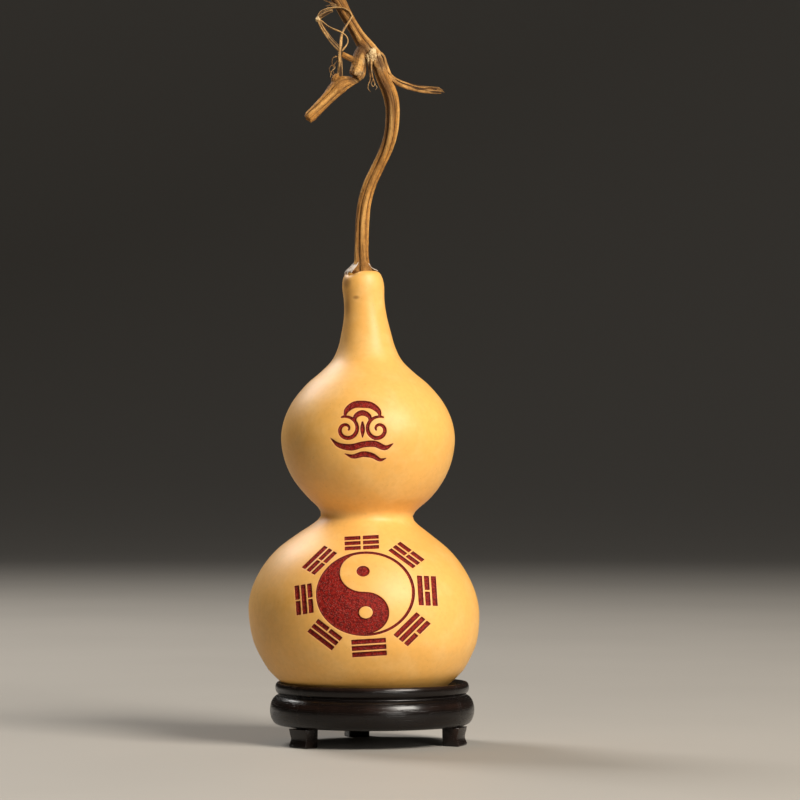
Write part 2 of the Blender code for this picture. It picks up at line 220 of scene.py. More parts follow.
# Weathered places on the vine, and spots of painted shade where its limbs part: centre,
# reach in millimetres and strength.
WEATHERED_SPOTS = [((3.6, -1.6, 326.4), 10.0, 0.8), ((-3.2, -5.6, 321.4), 8.0, 0.6)]
PAINTED_SHADE_SPOTS = [
    ((-2.2, -2.6, 330.6), 6.5, 1.0), ((8.4, -2.4, 325.4), 4.4, 1.0), ((3.4, -2.2, 322.4), 5.0, 1.0),
    ((-5.8, -5.4, 317.6), 3.2, 1.0), ((-6.4, -0.6, 337.0), 6.0, 0.7),
]
VINE_VOXEL = 0.32
# Papery knobs on the node, and the pale knot of the tendrils: centre and half sizes.
PAPER_KNOBS = [
    ((4.0, -3.5, 328.6), (1.9, 1.5, 2.8)),
    ((1.9, -3.2, 327.9), (1.1, 1.0, 1.3)),
    ((2.4, -3.6, 325.9), (0.8, 0.8, 1.5)),
    ((4.8, -2.9, 330.9), (1.0, 0.8, 1.2)),
]
PALE_KNOT = ((-21.9, -2.0, 345.9), (1.2, 1.1, 1.3))
# Outline of the dry film at the stalk's root, at the left and at the right: radius and height.
FILM_LEFT = [(3.3, 230.8), (4.0, 229.6), (5.2, 228.3), (6.6, 227.0), (7.8, 225.7), (8.8, 223.9)]
FILM_RIGHT = [(3.3, 229.4), (4.0, 228.2), (4.8, 227.2), (5.8, 226.6), (6.9, 226.1), (7.8, 225.6)]
FILM_MIDDLE = (-0.9, 1.2)
FILM_TURN = (66.0, 330.0)
FILM_THICKNESS = 0.25

# Stand: turned outlines and the feet's section, as radius and height round its own middle.
STAND_X = 3.9
SEAT_GAP = 0.3
UNDERSIDE = 9.2
RIM_RADIUS = 46.25
RIM_CROWN = 29.3
BEAD_HALF = (1.35, 2.5)
GROOVE = [(45.2, 24.2), (44.85, 23.6), (45.2, 23.0)]
RING_RADIUS = 48.8
RING_HEIGHT = 16.2
RING_HALF = (4.2, 7.0)
STAND_COLUMNS = 240
STAVE_JOINTS = (-46.0, 60.0, 150.0, 238.0)
FEET = {"front_left": -50.0, "right": 70.0, "back": 190.0}
FOOT_OUTER = [(46.3, 8.9), (45.8, 6.6), (45.3, 4.4), (45.6, 2.2), (46.3, 0.7)]
FOOT_INNER_RADIUS = 37.8
FOOT_WIDTH = 12.2
FOOT_EDGE = 0.5

# Studio: the round sweep's flat radius, the bend into its wall and its height in millimetres.
SWEEP = (2600.0, 1500.0, 4200.0)
SWEEP_COLUMNS = 96
# Lights: place, aim and size in metres, share of the key light's power, and colour.
LIGHTS = {
    "key_light": ((1.33, -1.48, 1.50), (0.0, 0.0, 0.16), (1.1, 0.9), 1.0, (1.0, 0.95, 0.87)),
    "low_light": ((0.98, -1.88, 0.46), (0.0, 0.0, 0.02), (0.5, 0.34), 0.07, (1.0, 0.97, 0.92)),
    "sheen_light": ((-1.20, 1.35, 1.75), (0.0, 0.0, 0.16), (0.9, 0.9), 0.44, (1.0, 0.98, 0.95)),
}
WORLD_COLOR = (1.0, 0.9, 0.75, 1.0)


class ShellSettings(bpy.types.PropertyGroup):
    """Sizes and colours of the gourd's shell and of its carving."""

    carving_depth: FloatProperty(
        name="Carving Depth", description="How deep the painted floor of the carving lies",
        default=0.0006, min=0.0, unit="LENGTH",
    )
    wall_width: FloatProperty(
        name="Wall Width", description="Width of the sloping wall round the carving", default=0.0005,
        min=0.0001, unit="LENGTH",
    )
    unevenness: FloatProperty(
        name="Unevenness", description="How far the shell bulges out of its smooth shape",
        default=0.00015, min=0.0, unit="LENGTH",
    )
    skin_color: FloatVectorProperty(
        name="Skin", description="Main colour of the dried skin", subtype="COLOR", size=4, min=0.0,
        max=1.0, default=(0.84, 0.45, 0.112, 1.0),
    )
    warm_color: FloatVectorProperty(
        name="Warm Skin", description="Colour of the browner blotches of the skin", subtype="COLOR",
        size=4, min=0.0, max=1.0, default=(0.70, 0.335, 0.062, 1.0),
    )
    paint_color: FloatVectorProperty(
        name="Paint", description="Colour of the paint on the carving's floor", subtype="COLOR", size=4,
        min=0.0, max=1.0, default=(0.28, 0.014, 0.009, 1.0),
    )


class VineSettings(bpy.types.PropertyGroup):
    """Relief and colours of the dried stalk, branch, twig and tendrils."""

    fibre_relief: FloatProperty(
        name="Fibre Relief", description="Height of the fine fibres on the bark", default=0.00006,
        min=0.0, unit="LENGTH",
    )
    rib_color: FloatVectorProperty(
        name="Ribs", description="Colour of the bark on the ribs", subtype="COLOR", size=4, min=0.0,
        max=1.0, default=(0.56, 0.235, 0.038, 1.0),
    )
    # The furrows' colour holds painted shade as well as the bark's own darker colour.
    furrow_and_shade_color: FloatVectorProperty(
        name="Furrows", description="Colour of the bark between the ribs", subtype="COLOR", size=4,
        min=0.0, max=1.0, default=(0.030, 0.011, 0.002, 1.0),
    )
    paper_color: FloatVectorProperty(
        name="Papery Bits", description="Colour of the papery skin and of the weathered bark",
        subtype="COLOR", size=4, min=0.0, max=1.0, default=(0.74, 0.54, 0.28, 1.0),
    )


class StandSettings(bpy.types.PropertyGroup):
    """Finish of the turned wooden stand."""

    wood_color: FloatVectorProperty(
        name="Stain", description="Colour of the stained wood", subtype="COLOR", size=4, min=0.0,
        max=1.0, default=(0.0045, 0.0034, 0.0032, 1.0),
    )
    worn_color: FloatVectorProperty(
        name="Worn Edge", description="Colour where the stain is rubbed thin", subtype="COLOR", size=4,
        min=0.0, max=1.0, default=(0.026, 0.012, 0.008, 1.0),
    )
    joint_width: FloatProperty(
        name="Joint Width", description="Width of the hairline joints between the staves",
        default=0.0004, min=0.0, unit="LENGTH",
    )


class StageSettings(bpy.types.PropertyGroup):
    """Light and floor of the studio."""

    key_power: FloatProperty(
        name="Key Light", description="Power of the large light from the right", default=86.0, min=0.0,
        unit="POWER",
    )
    floor_color: FloatVectorProperty(
        name="Floor", description="Colour of the pale sweep", subtype="COLOR", size=4, min=0.0, max=1.0,
        default=(0.42, 0.39, 0.35, 1.0),
    )
    wall_color: FloatVectorProperty(
        name="Wall", description="Colour that the sweep takes on towards its walls", subtype="COLOR",
        size=4, min=0.0, max=1.0, default=(0.095, 0.09, 0.083, 1.0),
    )
    surroundings: FloatProperty(
        name="Surroundings", description="Strength of the even light from all round", default=0.025,
        min=0.0,
    )


def smooth_curve(knots, per_span, place_columns):
    """Points of a centripetal Catmull-Rom curve through the knots, per_span for each stretch.

    Between two knots the curve is a blend of blends of its four nearest knots, whose moments
    lie the square root of their distance apart. The first place_columns numbers of a knot are
    its place, and the others, such as a radius, are carried along.
    """
    knots = np.asarray(knots, float)
    p = np.vstack([2 * knots[0] - knots[1], knots, 2 * knots[-1] - knots[-2]])
    reach = np.linalg.norm(np.diff(p[:, :place_columns], axis=0), axis=1)
    t = np.concatenate([[0.0], np.cumsum(np.sqrt(reach))])
    share = np.arange(per_span) / per_span

    def between(first, last, start, end, at):
        return first + (last - first) * ((at - start) / (end - start))[:, None]

    spans = []
    for i in range(1, len(p) - 2):
        at = t[i] + share * (t[i + 1] - t[i])
        a = [between(p[j], p[j + 1], t[j], t[j + 1], at) for j in (i - 1, i, i + 1)]
        b = [between(a[j], a[j + 1], t[i - 1 + j], t[i + 1 + j], at) for j in (0, 1)]
        spans.append(between(b[0], b[1], t[i], t[i + 1], at))
    return np.vstack([*spans, knots[-1:]])


def along(curve, place_columns):
    """Distance along a curve from its start to each of its points."""
    steps = np.linalg.norm(np.diff(curve[:, :place_columns], axis=0), axis=1)
    return np.concatenate([[0.0], np.cumsum(steps)])


def even_curve(knots, step, place_columns=3):
    """A smooth curve through the knots, with its points about one step apart."""
    curve = smooth_curve(knots, 24, place_columns)
    reach = along(curve, place_columns)
    at = np.linspace(0.0, reach[-1], max(3, round(reach[-1] / step)) + 1)
    return np.stack([np.interp(at, reach, column) for column in curve.T], axis=1)


def smooth_step(low, high, value):
    """0 below low and 1 above high, and three parts square less two parts cube between."""
    share = np.clip((value - low) / (high - low), 0.0, 1.0)
    return share * share * (3.0 - 2.0 * share)


def grid_faces(rows, columns, closed_round=True):
    """Four-sided faces between neighbouring rows of points stored one row after the other."""
    i = np.arange(rows - 1)[:, None] * columns
    j = np.arange(columns if closed_round else columns - 1)[None, :]
    k = (j + 1) % columns
    faces = np.stack([i + j, i + k, i + columns + k, i + columns + j], axis=2)
    return faces.reshape(-1, 4)


def closed_tube(sections):
    """Points and faces of closed rings lofted in order, with a fan to the middle of each end."""
    rows, columns = sections.shape[:2]
    points = np.vstack([sections.reshape(-1, 3), sections[0].mean(0), sections[-1].mean(0)])
    j = np.arange(columns)
    k = (j + 1) % columns
    last = (rows - 1) * columns
    low = np.stack([k, j, np.full(columns, rows * columns)], axis=1)
    high = np.stack([last + j, last + k, np.full(columns, rows * columns + 1)], axis=1)
    return points, [*grid_faces(rows, columns).tolist(), *low.tolist(), *high.tolist()]


def joined(parts):
    """Points and faces of several closed parts as one set."""
    points = np.vstack([part[0] for part in parts])
    starts = np.cumsum([0] + [len(part[0]) for part in parts])
    faces = []
    for (_, part_faces), start in zip(parts, starts):
        faces.extend([[corner + start for corner in face] for face in part_faces])
    return points, faces


def turned_round(radius, bearing, height, middle=(0.0, 0.0)):
    """Points at a height and a radius from a middle, at a bearing from the front to the right."""
    x = middle[0] + radius * np.sin(bearing)
    y = middle[1] - radius * np.cos(bearing)
    return np.stack(np.broadcast_arrays(x, y, height), axis=-1)


def put_mesh(name, points, faces, fields=None):
    """A smooth-shaded object from points in millimetres, with named values on its points."""
    mesh = bpy.data.meshes.new(name)
    mesh.from_pydata(np.asarray(points) * MM, [], faces)
    return new_piece(name, mesh, fields or {})


def new_piece(name, mesh, fields):
    """An object over a finished mesh, smooth-shaded, with named values on its points."""
    for field, values in fields.items():
        add_field(mesh, field, values)
    mesh.shade_smooth()
    mesh.update()
    made = bpy.data.objects.new(name, mesh)
    bpy.context.scene.collection.objects.link(made)
    return made


def add_field(mesh, name, values):
    """Stores one number or one vector for each point of the mesh under that name."""
    values = np.asarray(values, np.float32)
    kind = "FLOAT_VECTOR" if values.ndim == 2 else "FLOAT"
    layer = mesh.attributes.new(name, kind, "POINT")
    layer.data.foreach_set("vector" if values.ndim == 2 else "value", values.ravel())


def dress(piece, material, slot, *replaced):
    """Gives a finished piece its material and its body, and hides the CAD nodes it stands for;
    its slot is not used.
    """
    piece.data.materials.append(material)
    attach(piece, "root")
    if replaced:
        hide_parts(*replaced)


def add_node(tree, kind, inputs=None, **settings):
    """A shader node with its settings, and with each named input linked or set."""
    made = tree.nodes.new("ShaderNode" + kind)
    for name, value in settings.items():
        setattr(made, name, value)
    for name, value in (inputs or {}).items():
        feed(tree, made.inputs[name], value)
    return made


def feed(tree, socket, value):
    """Links a socket to another node's output, or sets it to a plain value."""
    if isinstance(value, bpy.types.NodeSocket):
        tree.links.new(value, socket)
    else:
        socket.default_value = value


def math_of(tree, operation, first, second):
    """Output of a Math node."""
    return add_node(tree, "Math", {0: first, 1: second}, operation=operation).outputs[0]


def tinted(tree, color, mask, strength, tint):
    """The colour moved towards a tint by a mask times a strength."""
    return mixed(tree, math_of(tree, "MULTIPLY", mask, strength), color, (*tint[:3], 1.0))


def spread(tree, value, low, high, to_low=0.0, to_high=1.0, kind="LINEAR"):
    """Output of a Map Range node that spreads low to high over to_low to to_high."""
    inputs = {
        "Value": value,
        "From Min": low,
        "From Max": high,
        "To Min": to_low,
        "To Max": to_high,
    }
    made = add_node(tree, "MapRange", inputs, interpolation_type=kind)
    return made.outputs["Result"]


def mixed(tree, factor, first, second):
    """Colour output of a Mix node."""
    made = tree.nodes.new("ShaderNodeMix")
    made.data_type = "RGBA"
    feed(tree, made.inputs[0], factor)
    feed(tree, made.inputs[6], first)
    feed(tree, made.inputs[7], second)
    return made.outputs[2]


def scaled(tree, coordinates, scale):
    """Coordinates multiplied by a number or by three numbers."""
    if not isinstance(scale, (tuple, bpy.types.NodeSocket)):
        scale = (scale, scale, scale)
    made = add_node(tree, "VectorMath", {0: coordinates, 1: scale}, operation="MULTIPLY")
    return made.outputs[0]


def new_group(name, values):
    """A shader node group over coordinates with those named values, and its two ends.

    It puts out one mask.
    """
    group = bpy.data.node_groups.new(name, "ShaderNodeTree")
    sockets = group.interface
    sockets.new_socket("Coordinates", in_out="INPUT", socket_type="NodeSocketVector")
    for label, value in values.items():
        made = sockets.new_socket(label, in_out="INPUT", socket_type="NodeSocketFloat")
        made.default_value = value
    sockets.new_socket("Mask", in_out="OUTPUT", socket_type="NodeSocketFloat")
    given = group.nodes.new("NodeGroupInput").outputs
    mask = group.nodes.new("NodeGroupOutput").inputs["Mask"]
    return group, given, mask


def make_blotches_group():
    """Soft blotches: noise of that scale, spread smoothly from low to high."""
    group, given, mask = new_group("soft_blotches", {"Scale": 100.0, "Low": 0.4, "High": 0.6})
    inputs = {"Vector": given["Coordinates"], "Scale": given["Scale"]}
    noise = add_node(group, "TexNoise", {**inputs, "Detail": 3.0, "Roughness": 0.55})
    fac = noise.outputs["Fac"]
    feed(group, mask, spread(group, fac, given["Low"], given["High"], kind="SMOOTHSTEP"))


def make_specks_group():
    """Scattered specks: a spot of that size in a share of the cells of a cell pattern."""
    values = {"Scale": 300.0, "Size": 0.3, "Share": 0.5}
    group, given, mask = new_group("scattered_specks", values)
    inputs = {"Vector": given["Coordinates"], "Scale": given["Scale"]}
    cells = add_node(group, "TexVoronoi", inputs).outputs
    spot = spread(group, cells["Distance"], given["Size"], 0.0, kind="SMOOTHSTEP")
    draw = add_node(group, "SeparateColor", {"Color": cells["Color"]}).outputs[0]
    chosen = math_of(group, "LESS_THAN", draw, given["Share"])
    feed(group, mask, math_of(group, "MULTIPLY", spot, chosen))


def make_streaks_group():
    """Fibre streaks: noise that is drawn out along the third coordinate, from low to high."""
    values = {"Across": 1.5, "Length": 0.05, "Low": 0.35, "High": 0.65}
    group, given, mask = new_group("fibre_streaks", values)
    across = given["Across"]
    lengthwise = math_of(group, "MULTIPLY", across, given["Length"])
    stretch = add_node(group, "CombineXYZ", {"X": across, "Y": across, "Z": lengthwise})
    drawn_out = scaled(group, given["Coordinates"], stretch.outputs[0])
    inputs = {"Vector": drawn_out, "Scale": 1.0, "Detail": 4.0, "Roughness": 0.6}
    noise = add_node(group, "TexNoise", inputs)
    feed(group, mask, spread(group, noise.outputs["Fac"], given["Low"], given["High"]))


def use_group(tree, name, place, **values):
    """Places a shared node group over coordinates with its own values, and gives its mask."""
    made = tree.nodes.new("ShaderNodeGroup")
    made.node_tree = bpy.data.node_groups[name]
    feed(tree, made.inputs["Coordinates"], place)
    for label, value in values.items():
        feed(tree, made.inputs[label], value)
    return made.outputs[0]


def blotches(tree, place, scale, low, high):
    """Mask of soft blotches."""
    return use_group(tree, "soft_blotches", place, Scale=scale, Low=low, High=high)


def specks(tree, place, scale, size, share):
    """Mask of scattered specks."""
    return use_group(tree, "scattered_specks", place, Scale=scale, Size=size, Share=share)


def streaks(tree, place, across, length, low, high):
    """Mask of fibre streaks."""
    values = {"Across": across, "Length": length, "Low": low, "High": high}
    return use_group(tree, "fibre_streaks", place, **values)


def new_material(name, color):
    """A material with nodes, and its tree, its Principled shader and its coordinates."""
    if "soft_blotches" not in bpy.data.node_groups:
        make_blotches_group()
        make_specks_group()
        make_streaks_group()
    material = bpy.data.materials.new(name)
    material.use_nodes = True
    material.diffuse_color = color
    tree = material.node_tree
    shader = tree.nodes["Principled BSDF"]
    place = tree.nodes.new("ShaderNodeTexCoord").outputs["Object"]
    return material, tree, shader, place


def field_output(tree, name, output):
    """A value or vector stored on the mesh under that name."""
    return add_node(tree, "Attribute", attribute_name=name).outputs[output]


def bumped(tree, height, distance, strength=1.0, normal=None):
    """Normal output of a Bump node over a height."""
    inputs = {"Height": height, "Distance": distance, "Strength": strength}
    if normal is not None:
        inputs["Normal"] = normal
    return add_node(tree, "Bump", inputs).outputs[0]


def shell_material(settings):
    """Golden skin with blotches, specks, stains and painted shade; red grainy paint in the cuts."""
    material, tree, shader, place = new_material("gourd_shell_skin", settings.skin_color)
    small = blotches(tree, place, 95.0, 0.40, 0.75)
    pores = specks(tree, place, 900.0, 0.28, 0.10)
    skin = tuple(settings.skin_color)
    skin = tinted(tree, skin, blotches(tree, place, 24.0, 0.36, 0.68), 0.55, settings.warm_color)
    skin = tinted(tree, skin, small, 0.26, (0.92, 0.62, 0.26))
    skin = tinted(tree, skin, blotches(tree, place, 420.0, 0.35, 0.7), 0.15, (0.55, 0.27, 0.06))
    skin = tinted(tree, skin, pores, 0.42, (0.34, 0.15, 0.035))
    skin = tinted(tree, skin, specks(tree, place, 170.0, 0.16, 0.22), 0.26, (0.42, 0.19, 0.05))
    # Stains on the neck, with painted shade down its left side and under the film's edge.
    for centre, half, share in NECK_STAINS_AND_SHADE:
        skin = tinted(tree, skin, stain(tree, place, centre, half), share, (0.24, 0.085, 0.016))

    carve = field_output(tree, "carve", "Fac")
    painted = spread(tree, carve, 0.02, -0.06)
    grains = specks(tree, place, 1500.0, 0.6, 0.7)
    clouds = blotches(tree, place, 900.0, 0.36, 0.64)
    paint = tinted(tree, tuple(settings.paint_color), clouds, 0.85, (0.085, 0.004, 0.003))
    paint = tinted(tree, paint, grains, 0.5, (0.42, 0.11, 0.09))
    # Painted shade: the paint darkens towards the walls of the cuts, where their shadow falls.
    painted_recess_shade = spread(tree, carve, -0.75, -0.1, kind="SMOOTHSTEP")
    paint = tinted(tree, paint, painted_recess_shade, 0.7, (0.055, 0.003, 0.002))
    dusted = spread(tree, carve, 0.55, 0.0, kind="SMOOTHSTEP")
    skin = tinted(tree, skin, dusted, 0.32, (0.80, 0.30, 0.16))
    feed(tree, shader.inputs["Base Color"], mixed(tree, painted, skin, paint))

    waxed = spread(tree, painted, 0.0, 1.0, 0.65, 0.0)
    feed(tree, shader.inputs["Coat Weight"], waxed)
    feed(tree, shader.inputs["Roughness"], spread(tree, small, 0.0, 1.0, 0.58, 0.7))
    shader.inputs["Coat Roughness"].default_value = 0.46
    shader.inputs["Specular IOR Level"].default_value = 0.12

    skin_height = math_of(tree, "SUBTRACT", math_of(tree, "MULTIPLY", small, 0.6), pores)
    normal = bumped(tree, skin_height, 0.00004, 0.7)
    grain_height = math_of(tree, "MULTIPLY", grains, painted)
    feed(tree, shader.inputs["Normal"], bumped(tree, grain_height, 0.00022, 1.0, normal))
    return material


def stain(tree, place, centre, half):
    """Mask that is one at the middle of an ellipsoid and falls to nothing at its skin."""
    middle = tuple(c * MM for c in centre)
    offset = add_node(tree, "VectorMath", {0: place, 1: middle}, operation="SUBTRACT")
    over = scaled(tree, offset.outputs[0], tuple(1.0 / (h * MM) for h in half))
    length = add_node(tree, "VectorMath", {0: over}, operation="LENGTH").outputs["Value"]
    return spread(tree, length, 1.0, 0.15, kind="SMOOTHSTEP")


def bark_material(settings, name, paleness, straw=0.0):
    """Fibrous dried bark: dark furrows deepened by painted shade, orange ribs, brown and grey
    weathered patches, and painted shade where the shaded field is high.
    """
    material, tree, shader, place = new_material(name, settings.rib_color)
    grain = field_output(tree, "grain", "Vector")
    relief = field_output(tree, "relief", "Fac")
    weathered = field_output(tree, "weathered", "Fac")
    shaded = field_output(tree, "shaded", "Fac")
    broad = streaks(tree, grain, 0.9, 0.06, 0.38, 0.64)
    fine = streaks(tree, grain, 3.2, 0.07, 0.36, 0.62)
    brown = blotches(tree, place, 170.0, 0.42, 0.62)
    mottle = blotches(tree, place, 620.0, 0.42, 0.62)
    pale = blotches(tree, place, 330.0, 0.42, 0.62)
    dots = specks(tree, place, 900.0, 0.34, 0.35)
    color = tinted(tree, tuple(settings.rib_color), broad, 0.6, (0.70, 0.37, 0.10))
    color = mixed(tree, straw, color, (0.80, 0.50, 0.20, 1.0))
    worn = math_of(tree, "MULTIPLY", weathered, spread(tree, pale, 0.0, 1.0, 0.2, 1.0))
    color = mixed(tree, worn, color, tuple(settings.paper_color))
    # Painted shade from the shaded field, over faint brown blotches of the bark's own.
    browning_and_shade = spread(tree, shaded, 0.0, 1.0, math_of(tree, "MULTIPLY", brown, 0.3), 0.9)
    color = mixed(tree, browning_and_shade, color, (0.085, 0.034, 0.008, 1.0))
    soiled = math_of(tree, "MULTIPLY", mottle, spread(tree, weathered, 0.0, 1.0, 0.35, 0.8))
    color = mixed(tree, soiled, color, (0.14, 0.065, 0.018, 1.0))
    color = tinted(tree, color, fine, 0.45, (0.20, 0.075, 0.012))
    crest = spread(tree, relief, 0.5, 1.0, 0.0, paleness, "SMOOTHSTEP")
    color = mixed(tree, crest, color, (0.80, 0.44, 0.13, 1.0))
    # Painted shade: the furrows go near black, over their darker bark.
    furrow = spread(tree, relief, 0.3, -0.7, 0.0, 0.95, "SMOOTHSTEP")
    color = mixed(tree, furrow, color, tuple(settings.furrow_and_shade_color))
    color = tinted(tree, color, dots, 0.5, (0.07, 0.03, 0.008))
    feed(tree, shader.inputs["Base Color"], color)
    feed(tree, shader.inputs["Roughness"], spread(tree, fine, 0.0, 1.0, 0.6, 0.8))
    shader.inputs["Specular IOR Level"].default_value = 0.3
    height = math_of(tree, "SUBTRACT", math_of(tree, "ADD", broad, fine), dots)
    height = math_of(tree, "SUBTRACT", height, soiled)
    feed(tree, shader.inputs["Normal"], bumped(tree, height, 0.00018))
    return material


def paper_material(settings):
    """Dry papery skin: cream where the weathered field is one, grey film where it is nought."""
    material, tree, shader, place = new_material("papery_skin", settings.paper_color)
    grain = field_output(tree, "grain", "Vector")
    relief = field_output(tree, "relief", "Fac")
    weathered = field_output(tree, "weathered", "Fac")
    stripes = streaks(tree, grain, 2.4, 0.2, 0.42, 0.7)
    soil = blotches(tree, place, 500.0, 0.48, 0.68)
    color = mixed(tree, weathered, (0.60, 0.53, 0.46, 1.0), tuple(settings.paper_color))
    color = tinted(tree, color, stripes, 0.5, (0.40, 0.22, 0.08))
    color = tinted(tree, color, soil, 0.6, (0.24, 0.11, 0.03))
    # Painted shade: the creases of the crumpled knobs go darker.
    furrow = spread(tree, relief, -0.1, -1.0, 0.0, 0.85, "SMOOTHSTEP")
    color = mixed(tree, furrow, color, (0.12, 0.055, 0.018, 1.0))
    feed(tree, shader.inputs["Base Color"], color)
    feed(tree, shader.inputs["Roughness"], spread(tree, soil, 0.0, 1.0, 0.6, 0.8))
    shader.inputs["Specular IOR Level"].default_value = 0.3
    height = math_of(tree, "ADD", stripes, math_of(tree, "MULTIPLY", soil, 0.5))
    feed(tree, shader.inputs["Normal"], bumped(tree, height, 0.00015, 0.8))
    return material


def wood_material(settings):
    """Near-black stained wood: long pores, thin stain on the edges, hairline stave joints."""
    material, tree, shader, place = new_material("dark_wood_satin", settings.wood_color)
    grain = field_output(tree, "grain", "Vector")
    wear = field_output(tree, "wear", "Fac")
    joint = field_output(tree, "joint", "Fac")
    pores = streaks(tree, grain, 2.2, 0.04, 0.56, 0.74)
    bands = streaks(tree, grain, 0.35, 0.06, 0.35, 0.7)
    cloud = blotches(tree, place, 60.0, 0.35, 0.7)
    dust = specks(tree, place, 420.0, 0.12, 0.16)
    color = tinted(tree, tuple(settings.wood_color), bands, 0.45, (0.012, 0.007, 0.005))
    rubbed = math_of(tree, "MULTIPLY", wear, spread(tree, cloud, 0.0, 1.0, 0.25, 0.9))
    color = mixed(tree, rubbed, color, tuple(settings.worn_color))
    color = tinted(tree, color, pores, 0.6, (0.003, 0.002, 0.002))
    color = tinted(tree, color, dust, 0.35, (0.12, 0.105, 0.09))
    gap = spread(tree, joint, 1.0, 0.0)
    color = mixed(tree, gap, color, (0.001, 0.001, 0.001, 1.0))
    feed(tree, shader.inputs["Base Color"], color)
    rough = spread(tree, cloud, 0.0, 1.0, 0.2, 0.28)
    rough = math_of(tree, "ADD", rough, math_of(tree, "MULTIPLY", pores, 0.2))
    feed(tree, shader.inputs["Roughness"], rough)
    shader.inputs["Specular IOR Level"].default_value = 0.30
    height = math_of(tree, "ADD", pores, math_of(tree, "MULTIPLY", gap, 4.0))
    height = math_of(tree, "MULTIPLY", height, -1.0)
    feed(tree, shader.inputs["Normal"], bumped(tree, height, 0.00005, 0.8))
    return material


def floor_material(settings):
    """Pale matte sweep with a faint unevenness, deeper in tone towards its walls."""
    material, tree, shader, place = new_material("pale_floor", settings.floor_color)
    color = tuple(settings.floor_color)
    dimmer = (*(0.95 * c for c in color[:3]), 1.0)
    pale = mixed(tree, blotches(tree, place, 3.0, 0.3, 0.7), color, dimmer)
    length = add_node(tree, "VectorMath", {0: place}, operation="LENGTH").outputs["Value"]
    far = spread(tree, length, 0.7, 3.2, kind="SMOOTHSTEP")
    feed(tree, shader.inputs["Base Color"], mixed(tree, far, pale, tuple(settings.wall_color)))
    shader.inputs["Roughness"].default_value = 0.6
    return material


def shell_outline():
    """Radius and height along the outline, with the rows as close as ROW_SPACING says.

    The rows lie where the running sum of one over the wished spacing passes each whole number.
    """
    curve = smooth_curve(GOURD_OUTLINE, 60, 2)
    curve = np.vstack([curve, smooth_curve([GOURD_OUTLINE[-1], *GOURD_LIP], 20, 2)[1:]])
    reach = along(curve, 2)
    heights, spacings = np.array(ROW_SPACING).T
    per_mm = 1.0 / np.interp(curve[:, 1], heights, spacings)
    count = np.concatenate([[0.0], np.cumsum(np.diff(reach) * (per_mm[1:] + per_mm[:-1]) / 2)])
    at = np.linspace(0.0, count[-1], int(count[-1]) + 1)
    rows = np.stack([np.interp(at, count, column) for column in curve.T], axis=1)
    return rows[1:]


def shell_turns():
    """Bearings of the columns: close together over the carved front, wide apart behind."""
    half = math.radians(CARVED_HALF_TURN)
    front = np.linspace(-half, half, FINE_COLUMNS + 1)
    behind = np.linspace(half, 2 * math.pi - half, PLAIN_COLUMNS + 1)[1:-1]
    return np.concatenate([front, behind])


def shell_points(radius, height, turn, unevenness):
    """The shell at a bearing and a height: its radius along the bearing, from the bent axis.

    The radius swells and shrinks by a few slow waves round and up the body, which fade towards
    the seat and the neck. The rim at the top dips by the sixth power of the cosine of the
    bearing off the dip's own bearing.
    """
    axis = smooth_curve(GOURD_AXIS, 6, 3)
    waves = (
        np.sin(2 * turn + height / 23.0)
        + 0.8 * np.sin(3 * turn - height / 15.0 + 1.0)
        + 0.5 * np.sin(5 * turn + height / 9.0 + 2.0)
    )
    fade = smooth_step(38.0, 60.0, height) * smooth_step(226.0, 190.0, height)
    reach = radius + unevenness * waves * fade
    middle = [np.interp(height, axis[:, 0], drift) for drift in axis.T[1:]]
    towards = np.maximum(np.cos(turn - math.radians(LIP_DIP[0])), 0.0) ** 6
    drop = LIP_DIP[1] * towards * smooth_step(221.0, 225.6, height)
    return turned_round(reach, turn, height - drop, middle)


def surface_normals(grid):
    """Unit normals of a grid of points that is closed round and open up and down."""
    round_wise = np.roll(grid, -1, axis=1) - np.roll(grid, 1, axis=1)
    upwards = np.gradient(grid, axis=0)
    normals = np.cross(round_wise, upwards)
    return normals / np.maximum(np.linalg.norm(normals, axis=2), 1e-9)[..., None]


def seen_on_plane(points):
    """Where the eye sees points on the plane through the gourd's middle, as x and z."""
    share = -EYE[1] / (points[..., 1] - EYE[1])
    x = EYE[0] + (points[..., 0] - EYE[0]) * share
    z = EYE[2] + (points[..., 2] - EYE[2]) * share
    return np.stack([x, z], axis=-1)


def tilted(seen, centre, tilt):
    """Places from a centre, along and across a direction that is tilted by some degrees."""
    angle = math.radians(tilt)
    offset = seen - np.asarray(centre)
    x = offset[..., 0] * math.cos(angle) + offset[..., 1] * math.sin(angle)
    z = -offset[..., 0] * math.sin(angle) + offset[..., 1] * math.cos(angle)
    return x, z


def ellipse_distance(seen, centre, half, tilt=0.0):
    """Distance to an ellipse, below zero inside it, near enough close to its edge.

    With a as the length of the place over the half axes, and b as the length of the place over
    their squares, it is a times a less one, over b.
    """
    x, z = tilted(seen, centre, tilt)
    over = np.hypot(x / half[0], z / half[1])
    steep = np.hypot(x / half[0] ** 2, z / half[1] ** 2)
    return over * (over - 1.0) / np.maximum(steep, 1e-6)


def disc_distance(seen):
    """Distance to the carved half of the disc, its ring and its dot, below zero inside.

    The carved half is what lies left of the middle line outside the bare head, or inside the
    red head, within the ring.
    """
    outer = ellipse_distance(seen, DISC_CENTRE, DISC_HALF, MOTIF_TILT)
    inner_half = (DISC_HALF[0] - DISC_LINE[0], DISC_HALF[1] - DISC_LINE[1])
    inner = ellipse_distance(seen, DISC_CENTRE, inner_half, MOTIF_TILT)
    right_of_middle, _ = tilted(seen, DISC_CENTRE, MOTIF_TILT)
    bare = ellipse_distance(seen, *BARE_HEAD)
    red = ellipse_distance(seen, *RED_HEAD)
    half = np.minimum(np.maximum(right_of_middle, -bare), red)
    half = np.maximum(half, -ellipse_distance(seen, *BARE_DOT))
    dot = ellipse_distance(seen, *RED_DOT)
    ring = np.maximum(outer, -inner)
    return np.minimum(np.minimum(ring, dot), np.maximum(half, outer))


